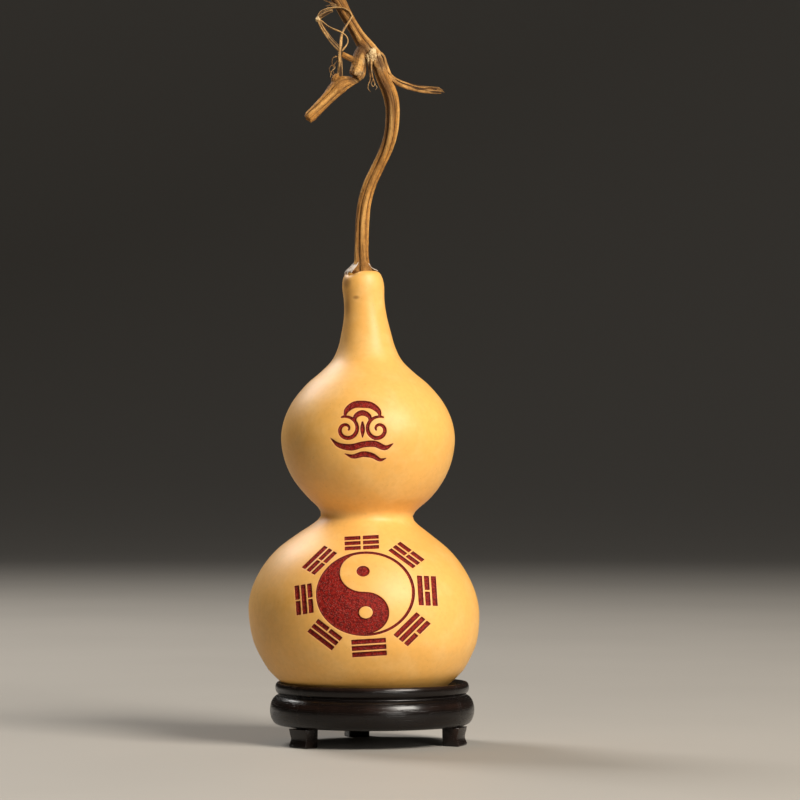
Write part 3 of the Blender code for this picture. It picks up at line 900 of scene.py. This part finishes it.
def trigram_distance(seen, middle, half_bar, half_stack, parting, bars):
    """Distance to three bars of a stack, whole or parted in their middle, below zero inside.

    A place is read along the bars and along the stack, and a bar is a box there: the distance
    is that of the larger of the two overhangs.
    """
    basis = np.linalg.inv(np.array([half_bar, half_stack]).T)
    share = (seen - np.asarray(middle)) @ basis.T
    bar_length, stack_length = math.hypot(*half_bar), math.hypot(*half_stack)
    along_bar = np.abs(share[..., 0]) * bar_length
    nearest = np.full(seen.shape[:-1], 99.0)
    spacing = 1.0 - BAR_SHARE
    for n, whole in enumerate(bars):
        centre = -1.0 + BAR_SHARE + n * spacing
        across = np.abs(share[..., 1] - centre) * stack_length - BAR_SHARE * stack_length
        lengthwise = along_bar - bar_length
        if not whole:
            lengthwise = np.maximum(lengthwise, parting / 2 - along_bar)
        nearest = np.minimum(nearest, np.maximum(across, lengthwise))
    return nearest


def cloud_strokes():
    """Points along the scroll's strokes, as x, z and half width.

    A curl runs round its centre from a small inner radius outwards over its turns, and its
    width swells in its middle like a brush stroke.
    """
    strokes = [even_curve(knots, 0.18, 2) for knots in CLOUD_STROKES]
    for (x, z), reach, turns, hand in CLOUD_CURLS:
        share = np.linspace(0.0, 1.0, 260)
        angle = math.radians(112.0) - turns * 2 * math.pi * (1.0 - share)
        radius = reach * (0.16 + 0.84 * share)
        width = 0.45 + 0.75 * np.sin(math.pi * share) ** 0.7 * (0.35 + 0.65 * share)
        curl_x = x - hand * radius * np.cos(angle)
        curl_z = z + radius * np.sin(angle)
        strokes.append(np.stack([curl_x, curl_z, width], axis=1))
    return np.vstack(strokes) + (*CLOUD_CENTRE, 0.0)


def cloud_distance(seen):
    """Distance to the nearest stroke point less its half width, below zero inside."""
    strokes = cloud_strokes()
    away = np.full(len(seen), 99.0)
    reach = 3.0
    low = strokes[:, :2].min(0) - reach
    high = strokes[:, :2].max(0) + reach
    near = np.flatnonzero(((seen > low) & (seen < high)).all(axis=1))
    gaps = np.linalg.norm(seen[near, None] - strokes[None, :, :2], axis=2) - strokes[:, 2]
    away[near] = gaps.min(axis=1)
    return away


def carving_distance(points):
    """Distance in millimetres to the carved pattern, below zero inside it, for shell points."""
    flat = points.reshape(-1, 3)
    seen = seen_on_plane(flat)
    distance = disc_distance(seen)
    for trigram in TRIGRAMS:
        distance = np.minimum(distance, trigram_distance(seen, *trigram))
    distance = np.minimum(distance, cloud_distance(seen))
    distance[flat[:, 1] > -4.0] = 99.0
    return np.minimum(distance, 3.0).reshape(points.shape[:-1])


def frames_along(path):
    """Tangents and two side directions along a path, turning as little as they can.

    Each side direction is the one before it, less its part along the new tangent.
    """
    tangents = np.gradient(path, axis=0)
    tangents /= np.linalg.norm(tangents, axis=1)[:, None]
    side = np.cross(tangents[0], (0.0, 1.0, 0.0))
    sides = []
    for tangent in tangents:
        side = side - tangent * side.dot(tangent)
        side = side / np.linalg.norm(side)
        sides.append(side)
    sides = np.array(sides)
    return tangents, sides, np.cross(tangents, sides)


def swept(curve, sides, swell=0.0, fray=0.0, slant=0.0):
    """Rings of a tube along a curve of x, y, z and radius, with a frayed hollow far end.

    A ring's point lies its radius away along the cosine of the one side direction and the sine
    of the other. The last rings close in and sink, as round the pith of a broken stem.
    """
    path, radius = curve[:, :3], curve[:, 3]
    tangents, across, up = frames_along(path)
    turn = np.arange(sides) * 2 * math.pi / sides
    reach = radius[:, None] * (1.0 + swell)
    ring = np.cos(turn)[:, None] * across[:, None] + np.sin(turn)[:, None] * up[:, None]
    sections = path[:, None] + reach[..., None] * ring
    ragged = np.sin(3 * turn) + 0.7 * np.sin(7 * turn + 1.0) + 0.5 * np.sin(11 * turn + 2.0)
    push = fray * 0.28 * radius[-1] * ragged + slant * radius[-1] * np.cos(turn)
    sections[-1] += push[:, None] * tangents[-1]
    closing = []
    for share, sink in ((0.8, 0.12), (0.62, 0.45), (0.35, 0.6)):
        inner = path[-1] + (sections[-1] - path[-1]) * share
        closing.append(inner - tangents[-1] * sink * radius[-1] * (0.15 + fray))
    return np.concatenate([sections, np.array(closing)])


def limb_places(points, limbs):
    """For each point: its nearest limb, its distance along and angle round it, and its lead.

    The nearest limb is the one whose surface is least far. The lead is how much farther the
    next limb is, in millimetres, so it is small where limbs grow together.
    """
    found = []
    for curve, *_ in limbs:
        tangents, across, up = frames_along(curve[:, :3])
        run = along(curve, 3)
        nearest = np.empty(len(points), int)
        for start in range(0, len(points), 8000):
            block = points[start : start + 8000]
            gap = np.linalg.norm(block[:, None] - curve[None, :, :3], axis=2) - curve[:, 3]
            nearest[start : start + 8000] = gap.argmin(axis=1)
        offset = points - curve[nearest, :3]
        lengthwise = (offset * tangents[nearest]).sum(axis=1)
        side = (offset * across[nearest]).sum(axis=1)
        top = (offset * up[nearest]).sum(axis=1)
        away = np.hypot(side, top) - curve[nearest, 3]
        overhang = np.maximum(np.abs(lengthwise) - 1.0, 0.0)
        found.append((away + overhang, run[nearest] + lengthwise, np.arctan2(top, side)))
    away, run, angle = (np.array(column) for column in zip(*found))
    best = away.argmin(axis=0)
    ranked = np.sort(away, axis=0)
    pick = (best, np.arange(len(points)))
    return best, run[pick], angle[pick], ranked[1] - ranked[0]


def rib_relief(run, angle, length, ribs, twist):
    """Height of the ribs round a limb, from -1 in a furrow to 1 on a crest.

    A rib is the root of the absolute cosine of half the ribs times the angle, so that ribs are
    broad and furrows narrow. The angle is turned by the twist and wavers a little.
    """
    turned = angle - twist * 2 * math.pi * run / length + 0.16 * np.sin(run / 11.0)
    crest = np.abs(np.cos(ribs * turned / 2.0)) ** 0.55
    uneven = 0.75 + 0.25 * np.sin(run / 7.0 + 3.0 * np.cos(turned))
    return (2.0 * crest - 1.0) * uneven, turned


def shaded_and_browned_bark(points, on_stalk, angle):
    """Where painted shade and browning lie on the stalk's bark, from 0 to 1.

    It is a band of painted shade down the left of the front, mixed with the bark's own
    browning, strongest in a stretch under the node and up the vine over it, where it also lies
    more to the left. The vine over the node is also darkened a little all round, and the stalk
    goes darker towards its root. Spots of painted shade lie where limbs part. The angle is 0 at
    the left and a quarter turn at the front.
    """
    height = points[:, 2]
    over = smooth_step(333.0, 341.0, height)
    middle = math.radians(64.0) - over * math.radians(34.0)
    band = smooth_step(0.62, 0.9, np.cos(angle - middle))
    under = smooth_step(272.0, 292.0, height) * smooth_step(322.0, 314.0, height)
    root = smooth_step(236.0, 224.0, height)
    # The band is painted shade with some of the bark's own browning in it.
    stained = np.maximum(band * (0.35 + 0.65 * np.maximum(under, over)), over * 0.4)
    return np.maximum(on_stalk * np.maximum(stained, root * 0.4), spots(points, PAINTED_SHADE_SPOTS))


def spots(points, listed):
    """Mask that is each spot's strength at its centre and falls to nothing at its reach."""
    mask = np.zeros(len(points))
    for centre, reach, strength in listed:
        away = np.linalg.norm(points - centre, axis=1)
        mask = np.maximum(mask, strength * smooth_step(reach, reach * 0.35, away))
    return mask


def lumps(points):
    """Uneven lumps about a millimetre wide, from -1 to 1.

    They are the mean of products of two sines, each along a mixed direction.
    """
    rng = np.random.default_rng(5)
    total = np.zeros(len(points))
    for _ in range(6):
        first, second = rng.normal(size=(2, 3)) * 2.1
        total += np.sin(points @ first + rng.uniform(0, 6.3)) * np.sin(points @ second)
    return np.clip(total / 2.5, -1.0, 1.0)


def make_shell(settings):
    """The carved shell: a grid over bearing and outline, sunk along its normals where cut."""
    radius, height = shell_outline().T
    turn = shell_turns()
    grid = shell_points(radius[:, None], height[:, None], turn[None, :], settings.unevenness / MM)
    distance = carving_distance(grid)
    wall = settings.wall_width / MM
    sunk = smooth_step(0.0, -wall, distance)
    grains = np.random.default_rng(11).uniform(-0.5, 0.5, distance.shape)
    floor_grain = 0.12 * grains * smooth_step(-wall * 0.6, -wall * 1.4, distance)
    depth = settings.carving_depth / MM * sunk + floor_grain
    sections = grid - depth[..., None] * surface_normals(grid)
    points, faces = closed_tube(sections)
    carve = np.concatenate([distance.ravel(), [3.0, 3.0]])
    shell = put_mesh("gourd_shell", points, faces, {"carve": carve})
    dress(shell, shell_material(settings), "gourd_shell", "gourd")


def fused_skin(parts):
    """One mesh for the skin of several closed parts grown together, by a voxel remesh."""
    rough = put_mesh("vine_rough", *joined(parts))
    remesh = rough.modifiers.new("grown together", "REMESH")
    remesh.mode = "VOXEL"
    remesh.voxel_size = VINE_VOXEL * MM
    eased = rough.modifiers.new("eased", "SMOOTH")
    eased.factor = 0.5
    eased.iterations = 4
    graph = bpy.context.evaluated_depsgraph_get()
    mesh = bpy.data.meshes.new_from_object(rough.evaluated_get(graph))
    bpy.data.objects.remove(rough, do_unlink=True)
    return mesh


def vectors_of(items, name):
    """One row of three numbers for each item of a mesh's collection."""
    values = np.empty(len(items) * 3, np.float32)
    items.foreach_get(name, values)
    return values.reshape(-1, 3).astype(float)


def make_vine(settings):
    """Stalk, collar, branch, shoulder and stub as swept tubes, grown together in one skin.

    Every point of the skin then finds its nearest limb, and moves along its normal by that
    limb's ribs and fine fibres, less where two limbs meet, and by small lumps.
    """
    limbs, parts = [], []
    for knots, ribs, twist, phase, relief, slant, fray in VINE_LIMBS:
        curve = even_curve(knots, 0.6)
        limbs.append((curve, ribs, twist, math.radians(phase), relief))
        parts.append(closed_tube(swept(curve, 28, 0.0, fray, slant)))
    mesh = fused_skin(parts)
    points = vectors_of(mesh.vertices, "co") / MM
    normals = vectors_of(mesh.vertex_normals, "vector")

    best, run, angle, lead = limb_places(points, limbs)
    relief = np.zeros(len(points))
    push = np.zeros(len(points))
    grain = np.zeros((len(points), 3))
    own = smooth_step(0.0, 2.2, lead)
    for n, (curve, ribs, twist, phase, share) in enumerate(limbs):
        here = best == n
        at = run[here]
        total = along(curve, 3)[-1]
        ribbed, turned = rib_relief(at, angle[here] + phase, total, ribs, twist)
        radius = np.interp(at, along(curve, 3), curve[:, 3])
        fibres = np.sin(17 * turned + 2.0 * np.sin(at / 8.0))
        fibres += 0.7 * np.sin(29 * turned - 3.0 * np.sin(at / 5.0))
        free = own[here] * smooth_step(0.0, 2.5, at) * smooth_step(0.0, 2.0, total - at)
        relief[here] = ribbed * free
        push[here] = (relief[here] - 0.55 * free) * share * radius
        push[here] += settings.fibre_relief / MM * fibres * free
        grain[here] = np.stack([radius * np.cos(turned), radius * np.sin(turned), at + 200.0 * n], 1)
    weathered = spots(points, WEATHERED_SPOTS)
    push += (0.05 + 0.16 * weathered) * lumps(points)
    moved = (points + push[:, None] * normals) * MM
    mesh.vertices.foreach_set("co", moved.astype(np.float32).ravel())
    shaded = shaded_and_browned_bark(points, best == 0, angle)
    fields = {"relief": relief, "grain": grain, "weathered": weathered, "shaded": shaded}
    vine = new_piece("dried_vine", mesh, fields)
    dress(vine, bark_material(settings, "dried_vine_bark", 0.5), "dried_vine", "vine")


def thread(knots, step, sides, offset):
    """A fine closed tube through the knots, with its grain coordinates and its relief."""
    curve = even_curve(knots, step)
    turn = np.arange(sides) * 2 * math.pi / sides
    run = along(curve, 3)
    swell = 0.10 * np.cos(2 * turn[None, :] - run[:, None] / 6.0)
    swell += 0.05 * np.sin(run[:, None] / 1.7 + turn[None, :])
    sections = swept(curve, sides, swell)
    points, faces = closed_tube(sections)
    rows = len(sections)
    runs = np.concatenate([run, np.full(rows - len(run), run[-1])])
    radii = np.concatenate([curve[:, 3], np.full(rows - len(run), curve[-1, 3])])
    around = radii[:, None] * np.cos(turn), radii[:, None] * np.sin(turn)
    grain = np.stack(np.broadcast_arrays(*around, runs[:, None] + offset), axis=-1)
    grain = np.vstack([grain.reshape(-1, 3), (0, 0, offset), (0, 0, runs[-1] + offset)])
    relief = np.concatenate([swell, np.repeat(swell[-1:], rows - len(run), axis=0)]).ravel()
    relief = np.concatenate([relief / 0.15, [0.0, 0.0]])
    return (points, faces), grain, relief


def make_threads(name, knot_lists, step, sides, material, paleness):
    """One piece of several fine tubes, such as the tendrils or the loose fibres."""
    threads = [thread(knots, step, sides, 31.0 * n) for n, knots in enumerate(knot_lists)]
    points, faces = joined([made for made, _, _ in threads])
    fields = {
        "grain": np.vstack([grain for _, grain, _ in threads]),
        "relief": np.concatenate([relief for _, _, relief in threads]),
        "weathered": np.full(len(points), paleness),
    }
    piece = put_mesh(name, points, faces, fields)
    dress(piece, material, "dried_vine")


def crumpled_lump(centre, half, seed, rows=44, columns=60):
    """A closed lump: an ellipsoid over height and bearing, creased by sharp-edged waves.

    Its reach is one, plus a small share of absolute sines along a few mixed directions.
    """
    rng = np.random.default_rng(seed)
    rise = np.linspace(-0.5, 0.5, rows + 2)[1:-1, None] * math.pi
    turn = np.arange(columns) * 2 * math.pi / columns
    way = turned_round(np.cos(rise), turn, np.sin(rise))
    reach = np.ones(way.shape[:2])
    for size, strength in ((3.0, 0.16), (5.0, 0.12), (9.0, 0.07), (15.0, 0.04)):
        for _ in range(2):
            direction = rng.normal(size=3)
            direction /= np.linalg.norm(direction)
            wave = np.abs(np.sin(size * way @ direction + rng.uniform(0, 6.3)))
            reach += strength * (wave - 0.6)
    sections = np.asarray(centre) + way * reach[..., None] * np.asarray(half)
    points, faces = closed_tube(sections)
    grain = np.vstack([way.reshape(-1, 3) * half, (0.0, 0.0, -half[2]), (0.0, 0.0, half[2])])
    relief = np.concatenate([(reach.ravel() - 1.0) * 3.0, [0.0, 0.0]])
    return (points, faces), grain, relief


def make_papery_bits(material):
    """Crumpled knobs on the node, pale knot of the tendrils and the film at the stalk's root."""
    bits = [crumpled_lump(*knob, seed) for seed, knob in enumerate(PAPER_KNOBS, 3)]
    bits.append(crumpled_lump(*PALE_KNOT, 8, 20, 28))
    cream_count = sum(len(grain) for _, grain, _ in bits)
    bits.append(root_film())
    points, faces = joined([made for made, _, _ in bits])
    fields = {
        "grain": np.vstack([grain for _, grain, _ in bits]),
        "relief": np.concatenate([relief for _, _, relief in bits]),
        "weathered": np.arange(len(points)) < cream_count,
    }
    dress(put_mesh("papery_bits", points, faces, fields), material, "dried_vine")


def root_film():
    """Dry skirt of film that spreads from the stalk's root over the rim of the neck.

    It is a patch over bearing and share of its slope, open in front. Its outline passes from
    that of the right side to the steeper one of the left by the sine of the bearing. Its edge
    hangs in uneven tongues, waves crease it, and its inner side is drawn inwards.
    """
    degrees = np.linspace(*FILM_TURN, 150)
    turn = np.radians(degrees)
    share = np.linspace(0.0, 1.0, 26)[:, None]
    left = 0.5 - 0.5 * np.sin(turn)
    tongue = 0.90 + 0.06 * np.sin(17 * turn) + 0.04 * np.sin(43 * turn + 1.0)
    first, last = FILM_TURN
    ends = smooth_step(first, first + 18.0, degrees) * smooth_step(last, last - 8.0, degrees)
    slope = share * tongue * (0.35 + 0.65 * ends)
    at = np.linspace(0.0, 1.0, len(FILM_LEFT))
    radius, height = (
        np.interp(slope, at, column) * left + np.interp(slope, at, other) * (1.0 - left)
        for column, other in zip(np.array(FILM_LEFT).T, np.array(FILM_RIGHT).T)
    )
    crease = 0.10 * np.sin(21 * turn + 2.0 * share) * slope + 0.06 * np.sin(9 * share + 5 * turn)

    def patch(proud):
        return turned_round(radius + proud, turn, height + 0.7 * proud, FILM_MIDDLE)

    # One ring goes down the outside of a column of the patch and up its inside.
    sections = np.concatenate([patch(crease), patch(crease - FILM_THICKNESS)[::-1]], axis=0)
    points, faces = closed_tube(sections.transpose(1, 0, 2))
    return (points, faces), points * (0.6, 0.6, 1.0), np.full(len(points), 0.3)


def arc_points(centre, half, start, end, count):
    """Points on an ellipse, as radius and height, between two angles in degrees."""
    angles = np.radians(np.linspace(start, end, count))
    return centre + np.stack([half[0] * np.cos(angles), half[1] * np.sin(angles)], axis=1)


def stand_outline():
    """Outline of the turned stand, from the middle of its seat round to its flat underside."""
    outline = smooth_curve(GOURD_OUTLINE, 12, 2)
    wider = STAND_X - GOURD_AXIS[0][1] + SEAT_GAP
    seat = outline + (wider, -SEAT_GAP)
    crown_edge = RIM_CROWN - BEAD_HALF[1] / 2
    seat = seat[seat[:, 1] < crown_edge - 0.3]
    rising = outline[: outline[:, 0].argmax()]
    edge_radius = np.interp(crown_edge, rising[:, 1], rising[:, 0]) + wider
    bead = (RIM_RADIUS - BEAD_HALF[0], RIM_CROWN - BEAD_HALF[1])
    ring = (RING_RADIUS - RING_HALF[0], RING_HEIGHT)
    return np.vstack([
        [(2.0, seat[0, 1])],
        seat,
        [(edge_radius, crown_edge)],
        arc_points(bead, BEAD_HALF, 95, -62, 22),
        smooth_curve(GROOVE, 4, 2),
        arc_points(ring, RING_HALF, 80, -80, 44),
        [(ring[0], UNDERSIDE), (ring[0] - 6.0, UNDERSIDE), (2.0, UNDERSIDE)],
    ])


def make_stand_ring(settings, material):
    """The turned body: its outline carried round, with hairline joints between its staves.

    A point lies its radius from the middle along its bearing. The outline runs from the seat
    outwards and down, so the bearing runs clockwise from above to keep the faces outwards.
    """
    outline = stand_outline()
    turn = -np.arange(STAND_COLUMNS) * 2 * math.pi / STAND_COLUMNS
    radius, height = outline.T[..., None]
    points, faces = closed_tube(turned_round(radius, turn, height, (STAND_X, 0.0)))
    bearing = np.degrees(np.arctan2(points[:, 0] - STAND_X, -points[:, 1]))
    reach = np.hypot(points[:, 0] - STAND_X, points[:, 1])
    joints = np.array(STAVE_JOINTS)
    apart = (bearing[:, None] - joints + 180.0) % 360.0 - 180.0
    joint = (np.abs(np.radians(apart)) * reach[:, None]).min(axis=1)
    stave = (apart > 0).sum(axis=1)
    run = np.radians(bearing) * reach
    grain = np.stack([reach + 13.0 * stave, points[:, 2], run], axis=1)
    wear = smooth_step(1.4, 0.0, np.abs(points[:, 2] - RIM_CROWN + 0.5))
    wear = np.maximum(wear, smooth_step(2.5, 0.0, np.abs(points[:, 2] - RING_HEIGHT - 3.5)) * 0.6)
    wear *= smooth_step(42.0, 44.0, reach)
    fields = {
        "grain": grain,
        "wear": wear,
        "joint": np.minimum(joint / (settings.joint_width / MM / 2), 4.0),
    }
    piece = put_mesh("stand_turned_ring", points, faces, fields)
    dress(piece, material, "dark_wood", "stand_ring")


def make_foot(side, bearing, material):
    """A small foot: its section carried round the stand's middle, with eased ends.

    The section is a closed line of radius and height. Near each end it shrinks towards its own
    middle by the fall of a quarter circle, which rounds the edges.
    """
    outer = smooth_curve(FOOT_OUTER, 8, 2)
    top = UNDERSIDE - SEAT_GAP
    outer[0, 1] = top
    inner = [(FOOT_INNER_RADIUS, 0.0), (FOOT_INNER_RADIUS - 0.2, 0.4),
             (FOOT_INNER_RADIUS - 0.5, top - 0.4), (FOOT_INNER_RADIUS - 0.3, top)]
    section = np.vstack([outer, [(46.1, 0.25), (45.8, 0.0)], inner])
    middle = section.mean(axis=0)
    half = math.asin(FOOT_WIDTH / 2 / FOOT_OUTER[0][0])
    edge = FOOT_EDGE / FOOT_OUTER[0][0]
    round_off = np.linspace(0.0, math.pi / 2, 5)
    near_end = -half + edge * (1 - np.cos(round_off))
    turns = np.concatenate([near_end, [0.0], -near_end[::-1]])
    shrink = np.concatenate([1 - np.sin(round_off), [0.0], 1 - np.sin(round_off[::-1])])
    reach = np.linalg.norm(section - middle, axis=1)
    keep = 1.0 - shrink[:, None] * np.minimum(FOOT_EDGE / reach, 1.0)[None, :]
    place = middle + (section - middle) * keep[..., None]
    place[..., 1] = np.where(section[None, :, 1] < 0.01, 0.0, place[..., 1])
    angle = math.radians(bearing) + turns[:, None]
    grid = turned_round(place[..., 0], angle, place[..., 1], (STAND_X, 0.0))
    points, faces = closed_tube(grid)
    reach = np.hypot(points[:, 0] - STAND_X, points[:, 1])
    across = np.concatenate([np.repeat(turns, len(section)), [-half, half]]) * reach
    grain = np.stack([reach, points[:, 2] + bearing, across], axis=1)
    edges = smooth_step(FOOT_WIDTH / 2 - 1.2, FOOT_WIDTH / 2, np.abs(across))
    fields = {"grain": grain, "wear": edges * 0.7, "joint": np.full(len(points), 4.0)}
    piece = put_mesh("foot_" + side, points, faces, fields)
    dress(piece, material, "dark_wood", "stand_foot_" + side)


def make_floor(settings):
    """Pale round sweep: a flat floor whose rim turns up into a wall along a quarter circle."""
    flat, bend, height = SWEEP
    angle = np.linspace(0.0, math.pi / 2, 20)[1:]
    radius = [*np.linspace(40.0, flat, 12), *(flat + bend * np.sin(angle)), flat + bend]
    rise = [*np.zeros(12), *(bend - bend * np.cos(angle)), height]
    turn = np.arange(SWEEP_COLUMNS) * 2 * math.pi / SWEEP_COLUMNS
    grid = turned_round(np.array(radius)[:, None], turn, np.array(rise)[:, None])
    points = np.vstack([grid.reshape(-1, 3), (0.0, 0.0, 0.0)])
    middle = len(points) - 1
    fan = [[n, (n + 1) % SWEEP_COLUMNS, middle] for n in range(SWEEP_COLUMNS)]
    sweep = grid_faces(len(radius), SWEEP_COLUMNS)[:, ::-1].tolist()
    floor = put_mesh("floor_sweep", points, [*sweep, *fan])
    floor.data.materials.append(floor_material(settings))


def make_light(name, place, aim, size, power, color):
    """A large soft area light that looks from its place to its aim, in metres."""
    lamp = bpy.data.lights.new(name, "AREA")
    lamp.shape = "RECTANGLE"
    lamp.size, lamp.size_y = size
    lamp.energy = power
    lamp.color = color
    made = bpy.data.objects.new(name, lamp)
    made.location = place
    made.rotation_euler = (Vector(aim) - made.location).to_track_quat("-Z", "Y").to_euler()
    bpy.context.scene.collection.objects.link(made)


def make_camera():
    """The camera at the photograph's place and angle."""
    lens = bpy.data.cameras.new("camera")
    lens.lens = LENS
    lens.sensor_width = PICTURE_WIDTH
    lens.clip_start = 0.05
    lens.clip_end = 50.0
    camera = bpy.data.objects.new("camera", lens)
    camera.location = tuple(EYE * MM)
    camera.rotation_euler = (math.radians(90.0 + EYE_TILT), 0.0, 0.0)
    bpy.context.scene.collection.objects.link(camera)
    bpy.context.scene.camera = camera


class OBJECT_OT_gourd_shell(bpy.types.Operator):
    """Build the carved shell over the gourd's solid"""

    bl_idname = "object.gourd_shell"
    bl_label = "Carved Shell"

    def execute(self, context):
        make_shell(context.scene.gourd_shell)
        return {"FINISHED"}


class OBJECT_OT_gourd_vine(bpy.types.Operator):
    """Build the ribbed stalk and its broken branch over the vine's solid"""

    bl_idname = "object.gourd_vine"
    bl_label = "Dried Vine"

    def execute(self, context):
        make_vine(context.scene.gourd_vine)
        return {"FINISHED"}


class OBJECT_OT_gourd_tendrils(bpy.types.Operator):
    """Build the tendrils, the split twig, loose fibres and papery bits on the vine"""

    bl_idname = "object.gourd_tendrils"
    bl_label = "Tendrils and Fibres"

    def execute(self, context):
        settings = context.scene.gourd_vine
        tendril = bark_material(settings, "tendril_bark", 0.4, 0.65)
        twig = bark_material(settings, "twig_bark", 0.4, 0.2)
        make_threads("tendrils", TENDRILS, 0.5, 14, tendril, 0.25)
        make_threads("split_twig", TWIG_STRANDS, 0.5, 18, twig, 0.15)
        make_threads("loose_fibres", FIBRES, 0.3, 8, twig, 0.7)
        make_papery_bits(paper_material(settings))
        return {"FINISHED"}


class OBJECT_OT_gourd_stand(bpy.types.Operator):
    """Build the turned ring of the stand and its three feet"""

    bl_idname = "object.gourd_stand"
    bl_label = "Turned Stand"

    def execute(self, context):
        settings = context.scene.gourd_stand
        material = wood_material(settings)
        make_stand_ring(settings, material)
        for side, bearing in FEET.items():
            make_foot(side, bearing, material)
        return {"FINISHED"}


class OBJECT_OT_gourd_stage(bpy.types.Operator):
    """Build the pale floor, the soft studio lights and the camera"""

    bl_idname = "object.gourd_stage"
    bl_label = "Studio"

    def execute(self, context):
        settings = context.scene.gourd_stage
        make_floor(settings)
        for name, (place, aim, size, share, color) in LIGHTS.items():
            make_light(name, place, aim, size, settings.key_power * share, color)
        world = bpy.data.worlds.new("studio")
        world.use_nodes = True
        background = world.node_tree.nodes["Background"]
        background.inputs["Color"].default_value = WORLD_COLOR
        background.inputs["Strength"].default_value = settings.surroundings
        context.scene.world = world
        context.scene.view_settings.view_transform = "Standard"
        make_camera()
        return {"FINISHED"}


class VIEW3D_PT_gourd(bpy.types.Panel):
    """Lists the gourd's pieces and the values they are built from"""

    bl_label = "Dried Bottle Gourd"
    bl_idname = "VIEW3D_PT_gourd"
    bl_space_type = "VIEW_3D"
    bl_region_type = "UI"
    bl_category = "Gourd"

    def draw(self, context):
        for operator, group in PANEL_ROWS:
            box = self.layout.box()
            box.operator(operator)
            settings = getattr(context.scene, group)
            for name in settings.__annotations__:
                box.prop(settings, name)


PANEL_ROWS = (
    ("object.gourd_shell", "gourd_shell"),
    ("object.gourd_vine", "gourd_vine"),
    ("object.gourd_tendrils", "gourd_vine"),
    ("object.gourd_stand", "gourd_stand"),
    ("object.gourd_stage", "gourd_stage"),
)
SETTINGS = {
    "gourd_shell": ShellSettings,
    "gourd_vine": VineSettings,
    "gourd_stand": StandSettings,
    "gourd_stage": StageSettings,
}
CLASSES = (
    *SETTINGS.values(),
    OBJECT_OT_gourd_shell,
    OBJECT_OT_gourd_vine,
    OBJECT_OT_gourd_tendrils,
    OBJECT_OT_gourd_stand,
    OBJECT_OT_gourd_stage,
    VIEW3D_PT_gourd,
)


def register():
    """Registers the classes and hangs the settings on the scene."""
    for cls in CLASSES:
        bpy.utils.register_class(cls)
    for name, cls in SETTINGS.items():
        setattr(bpy.types.Scene, name, PointerProperty(type=cls))


def unregister():
    """Takes back what register did, in the other order."""
    for name in reversed(SETTINGS):
        delattr(bpy.types.Scene, name)
    for cls in reversed(CLASSES):
        bpy.utils.unregister_class(cls)


def main():
    register()
    for name in ("Cube", "Light", "Camera"):
        if name in bpy.data.objects:
            bpy.data.objects.remove(bpy.data.objects[name], do_unlink=True)
    bpy.ops.object.gourd_shell()
    bpy.ops.object.gourd_vine()
    bpy.ops.object.gourd_tendrils()
    bpy.ops.object.gourd_stand()
    bpy.ops.object.gourd_stage()


if __name__ == "__main__":
    main()
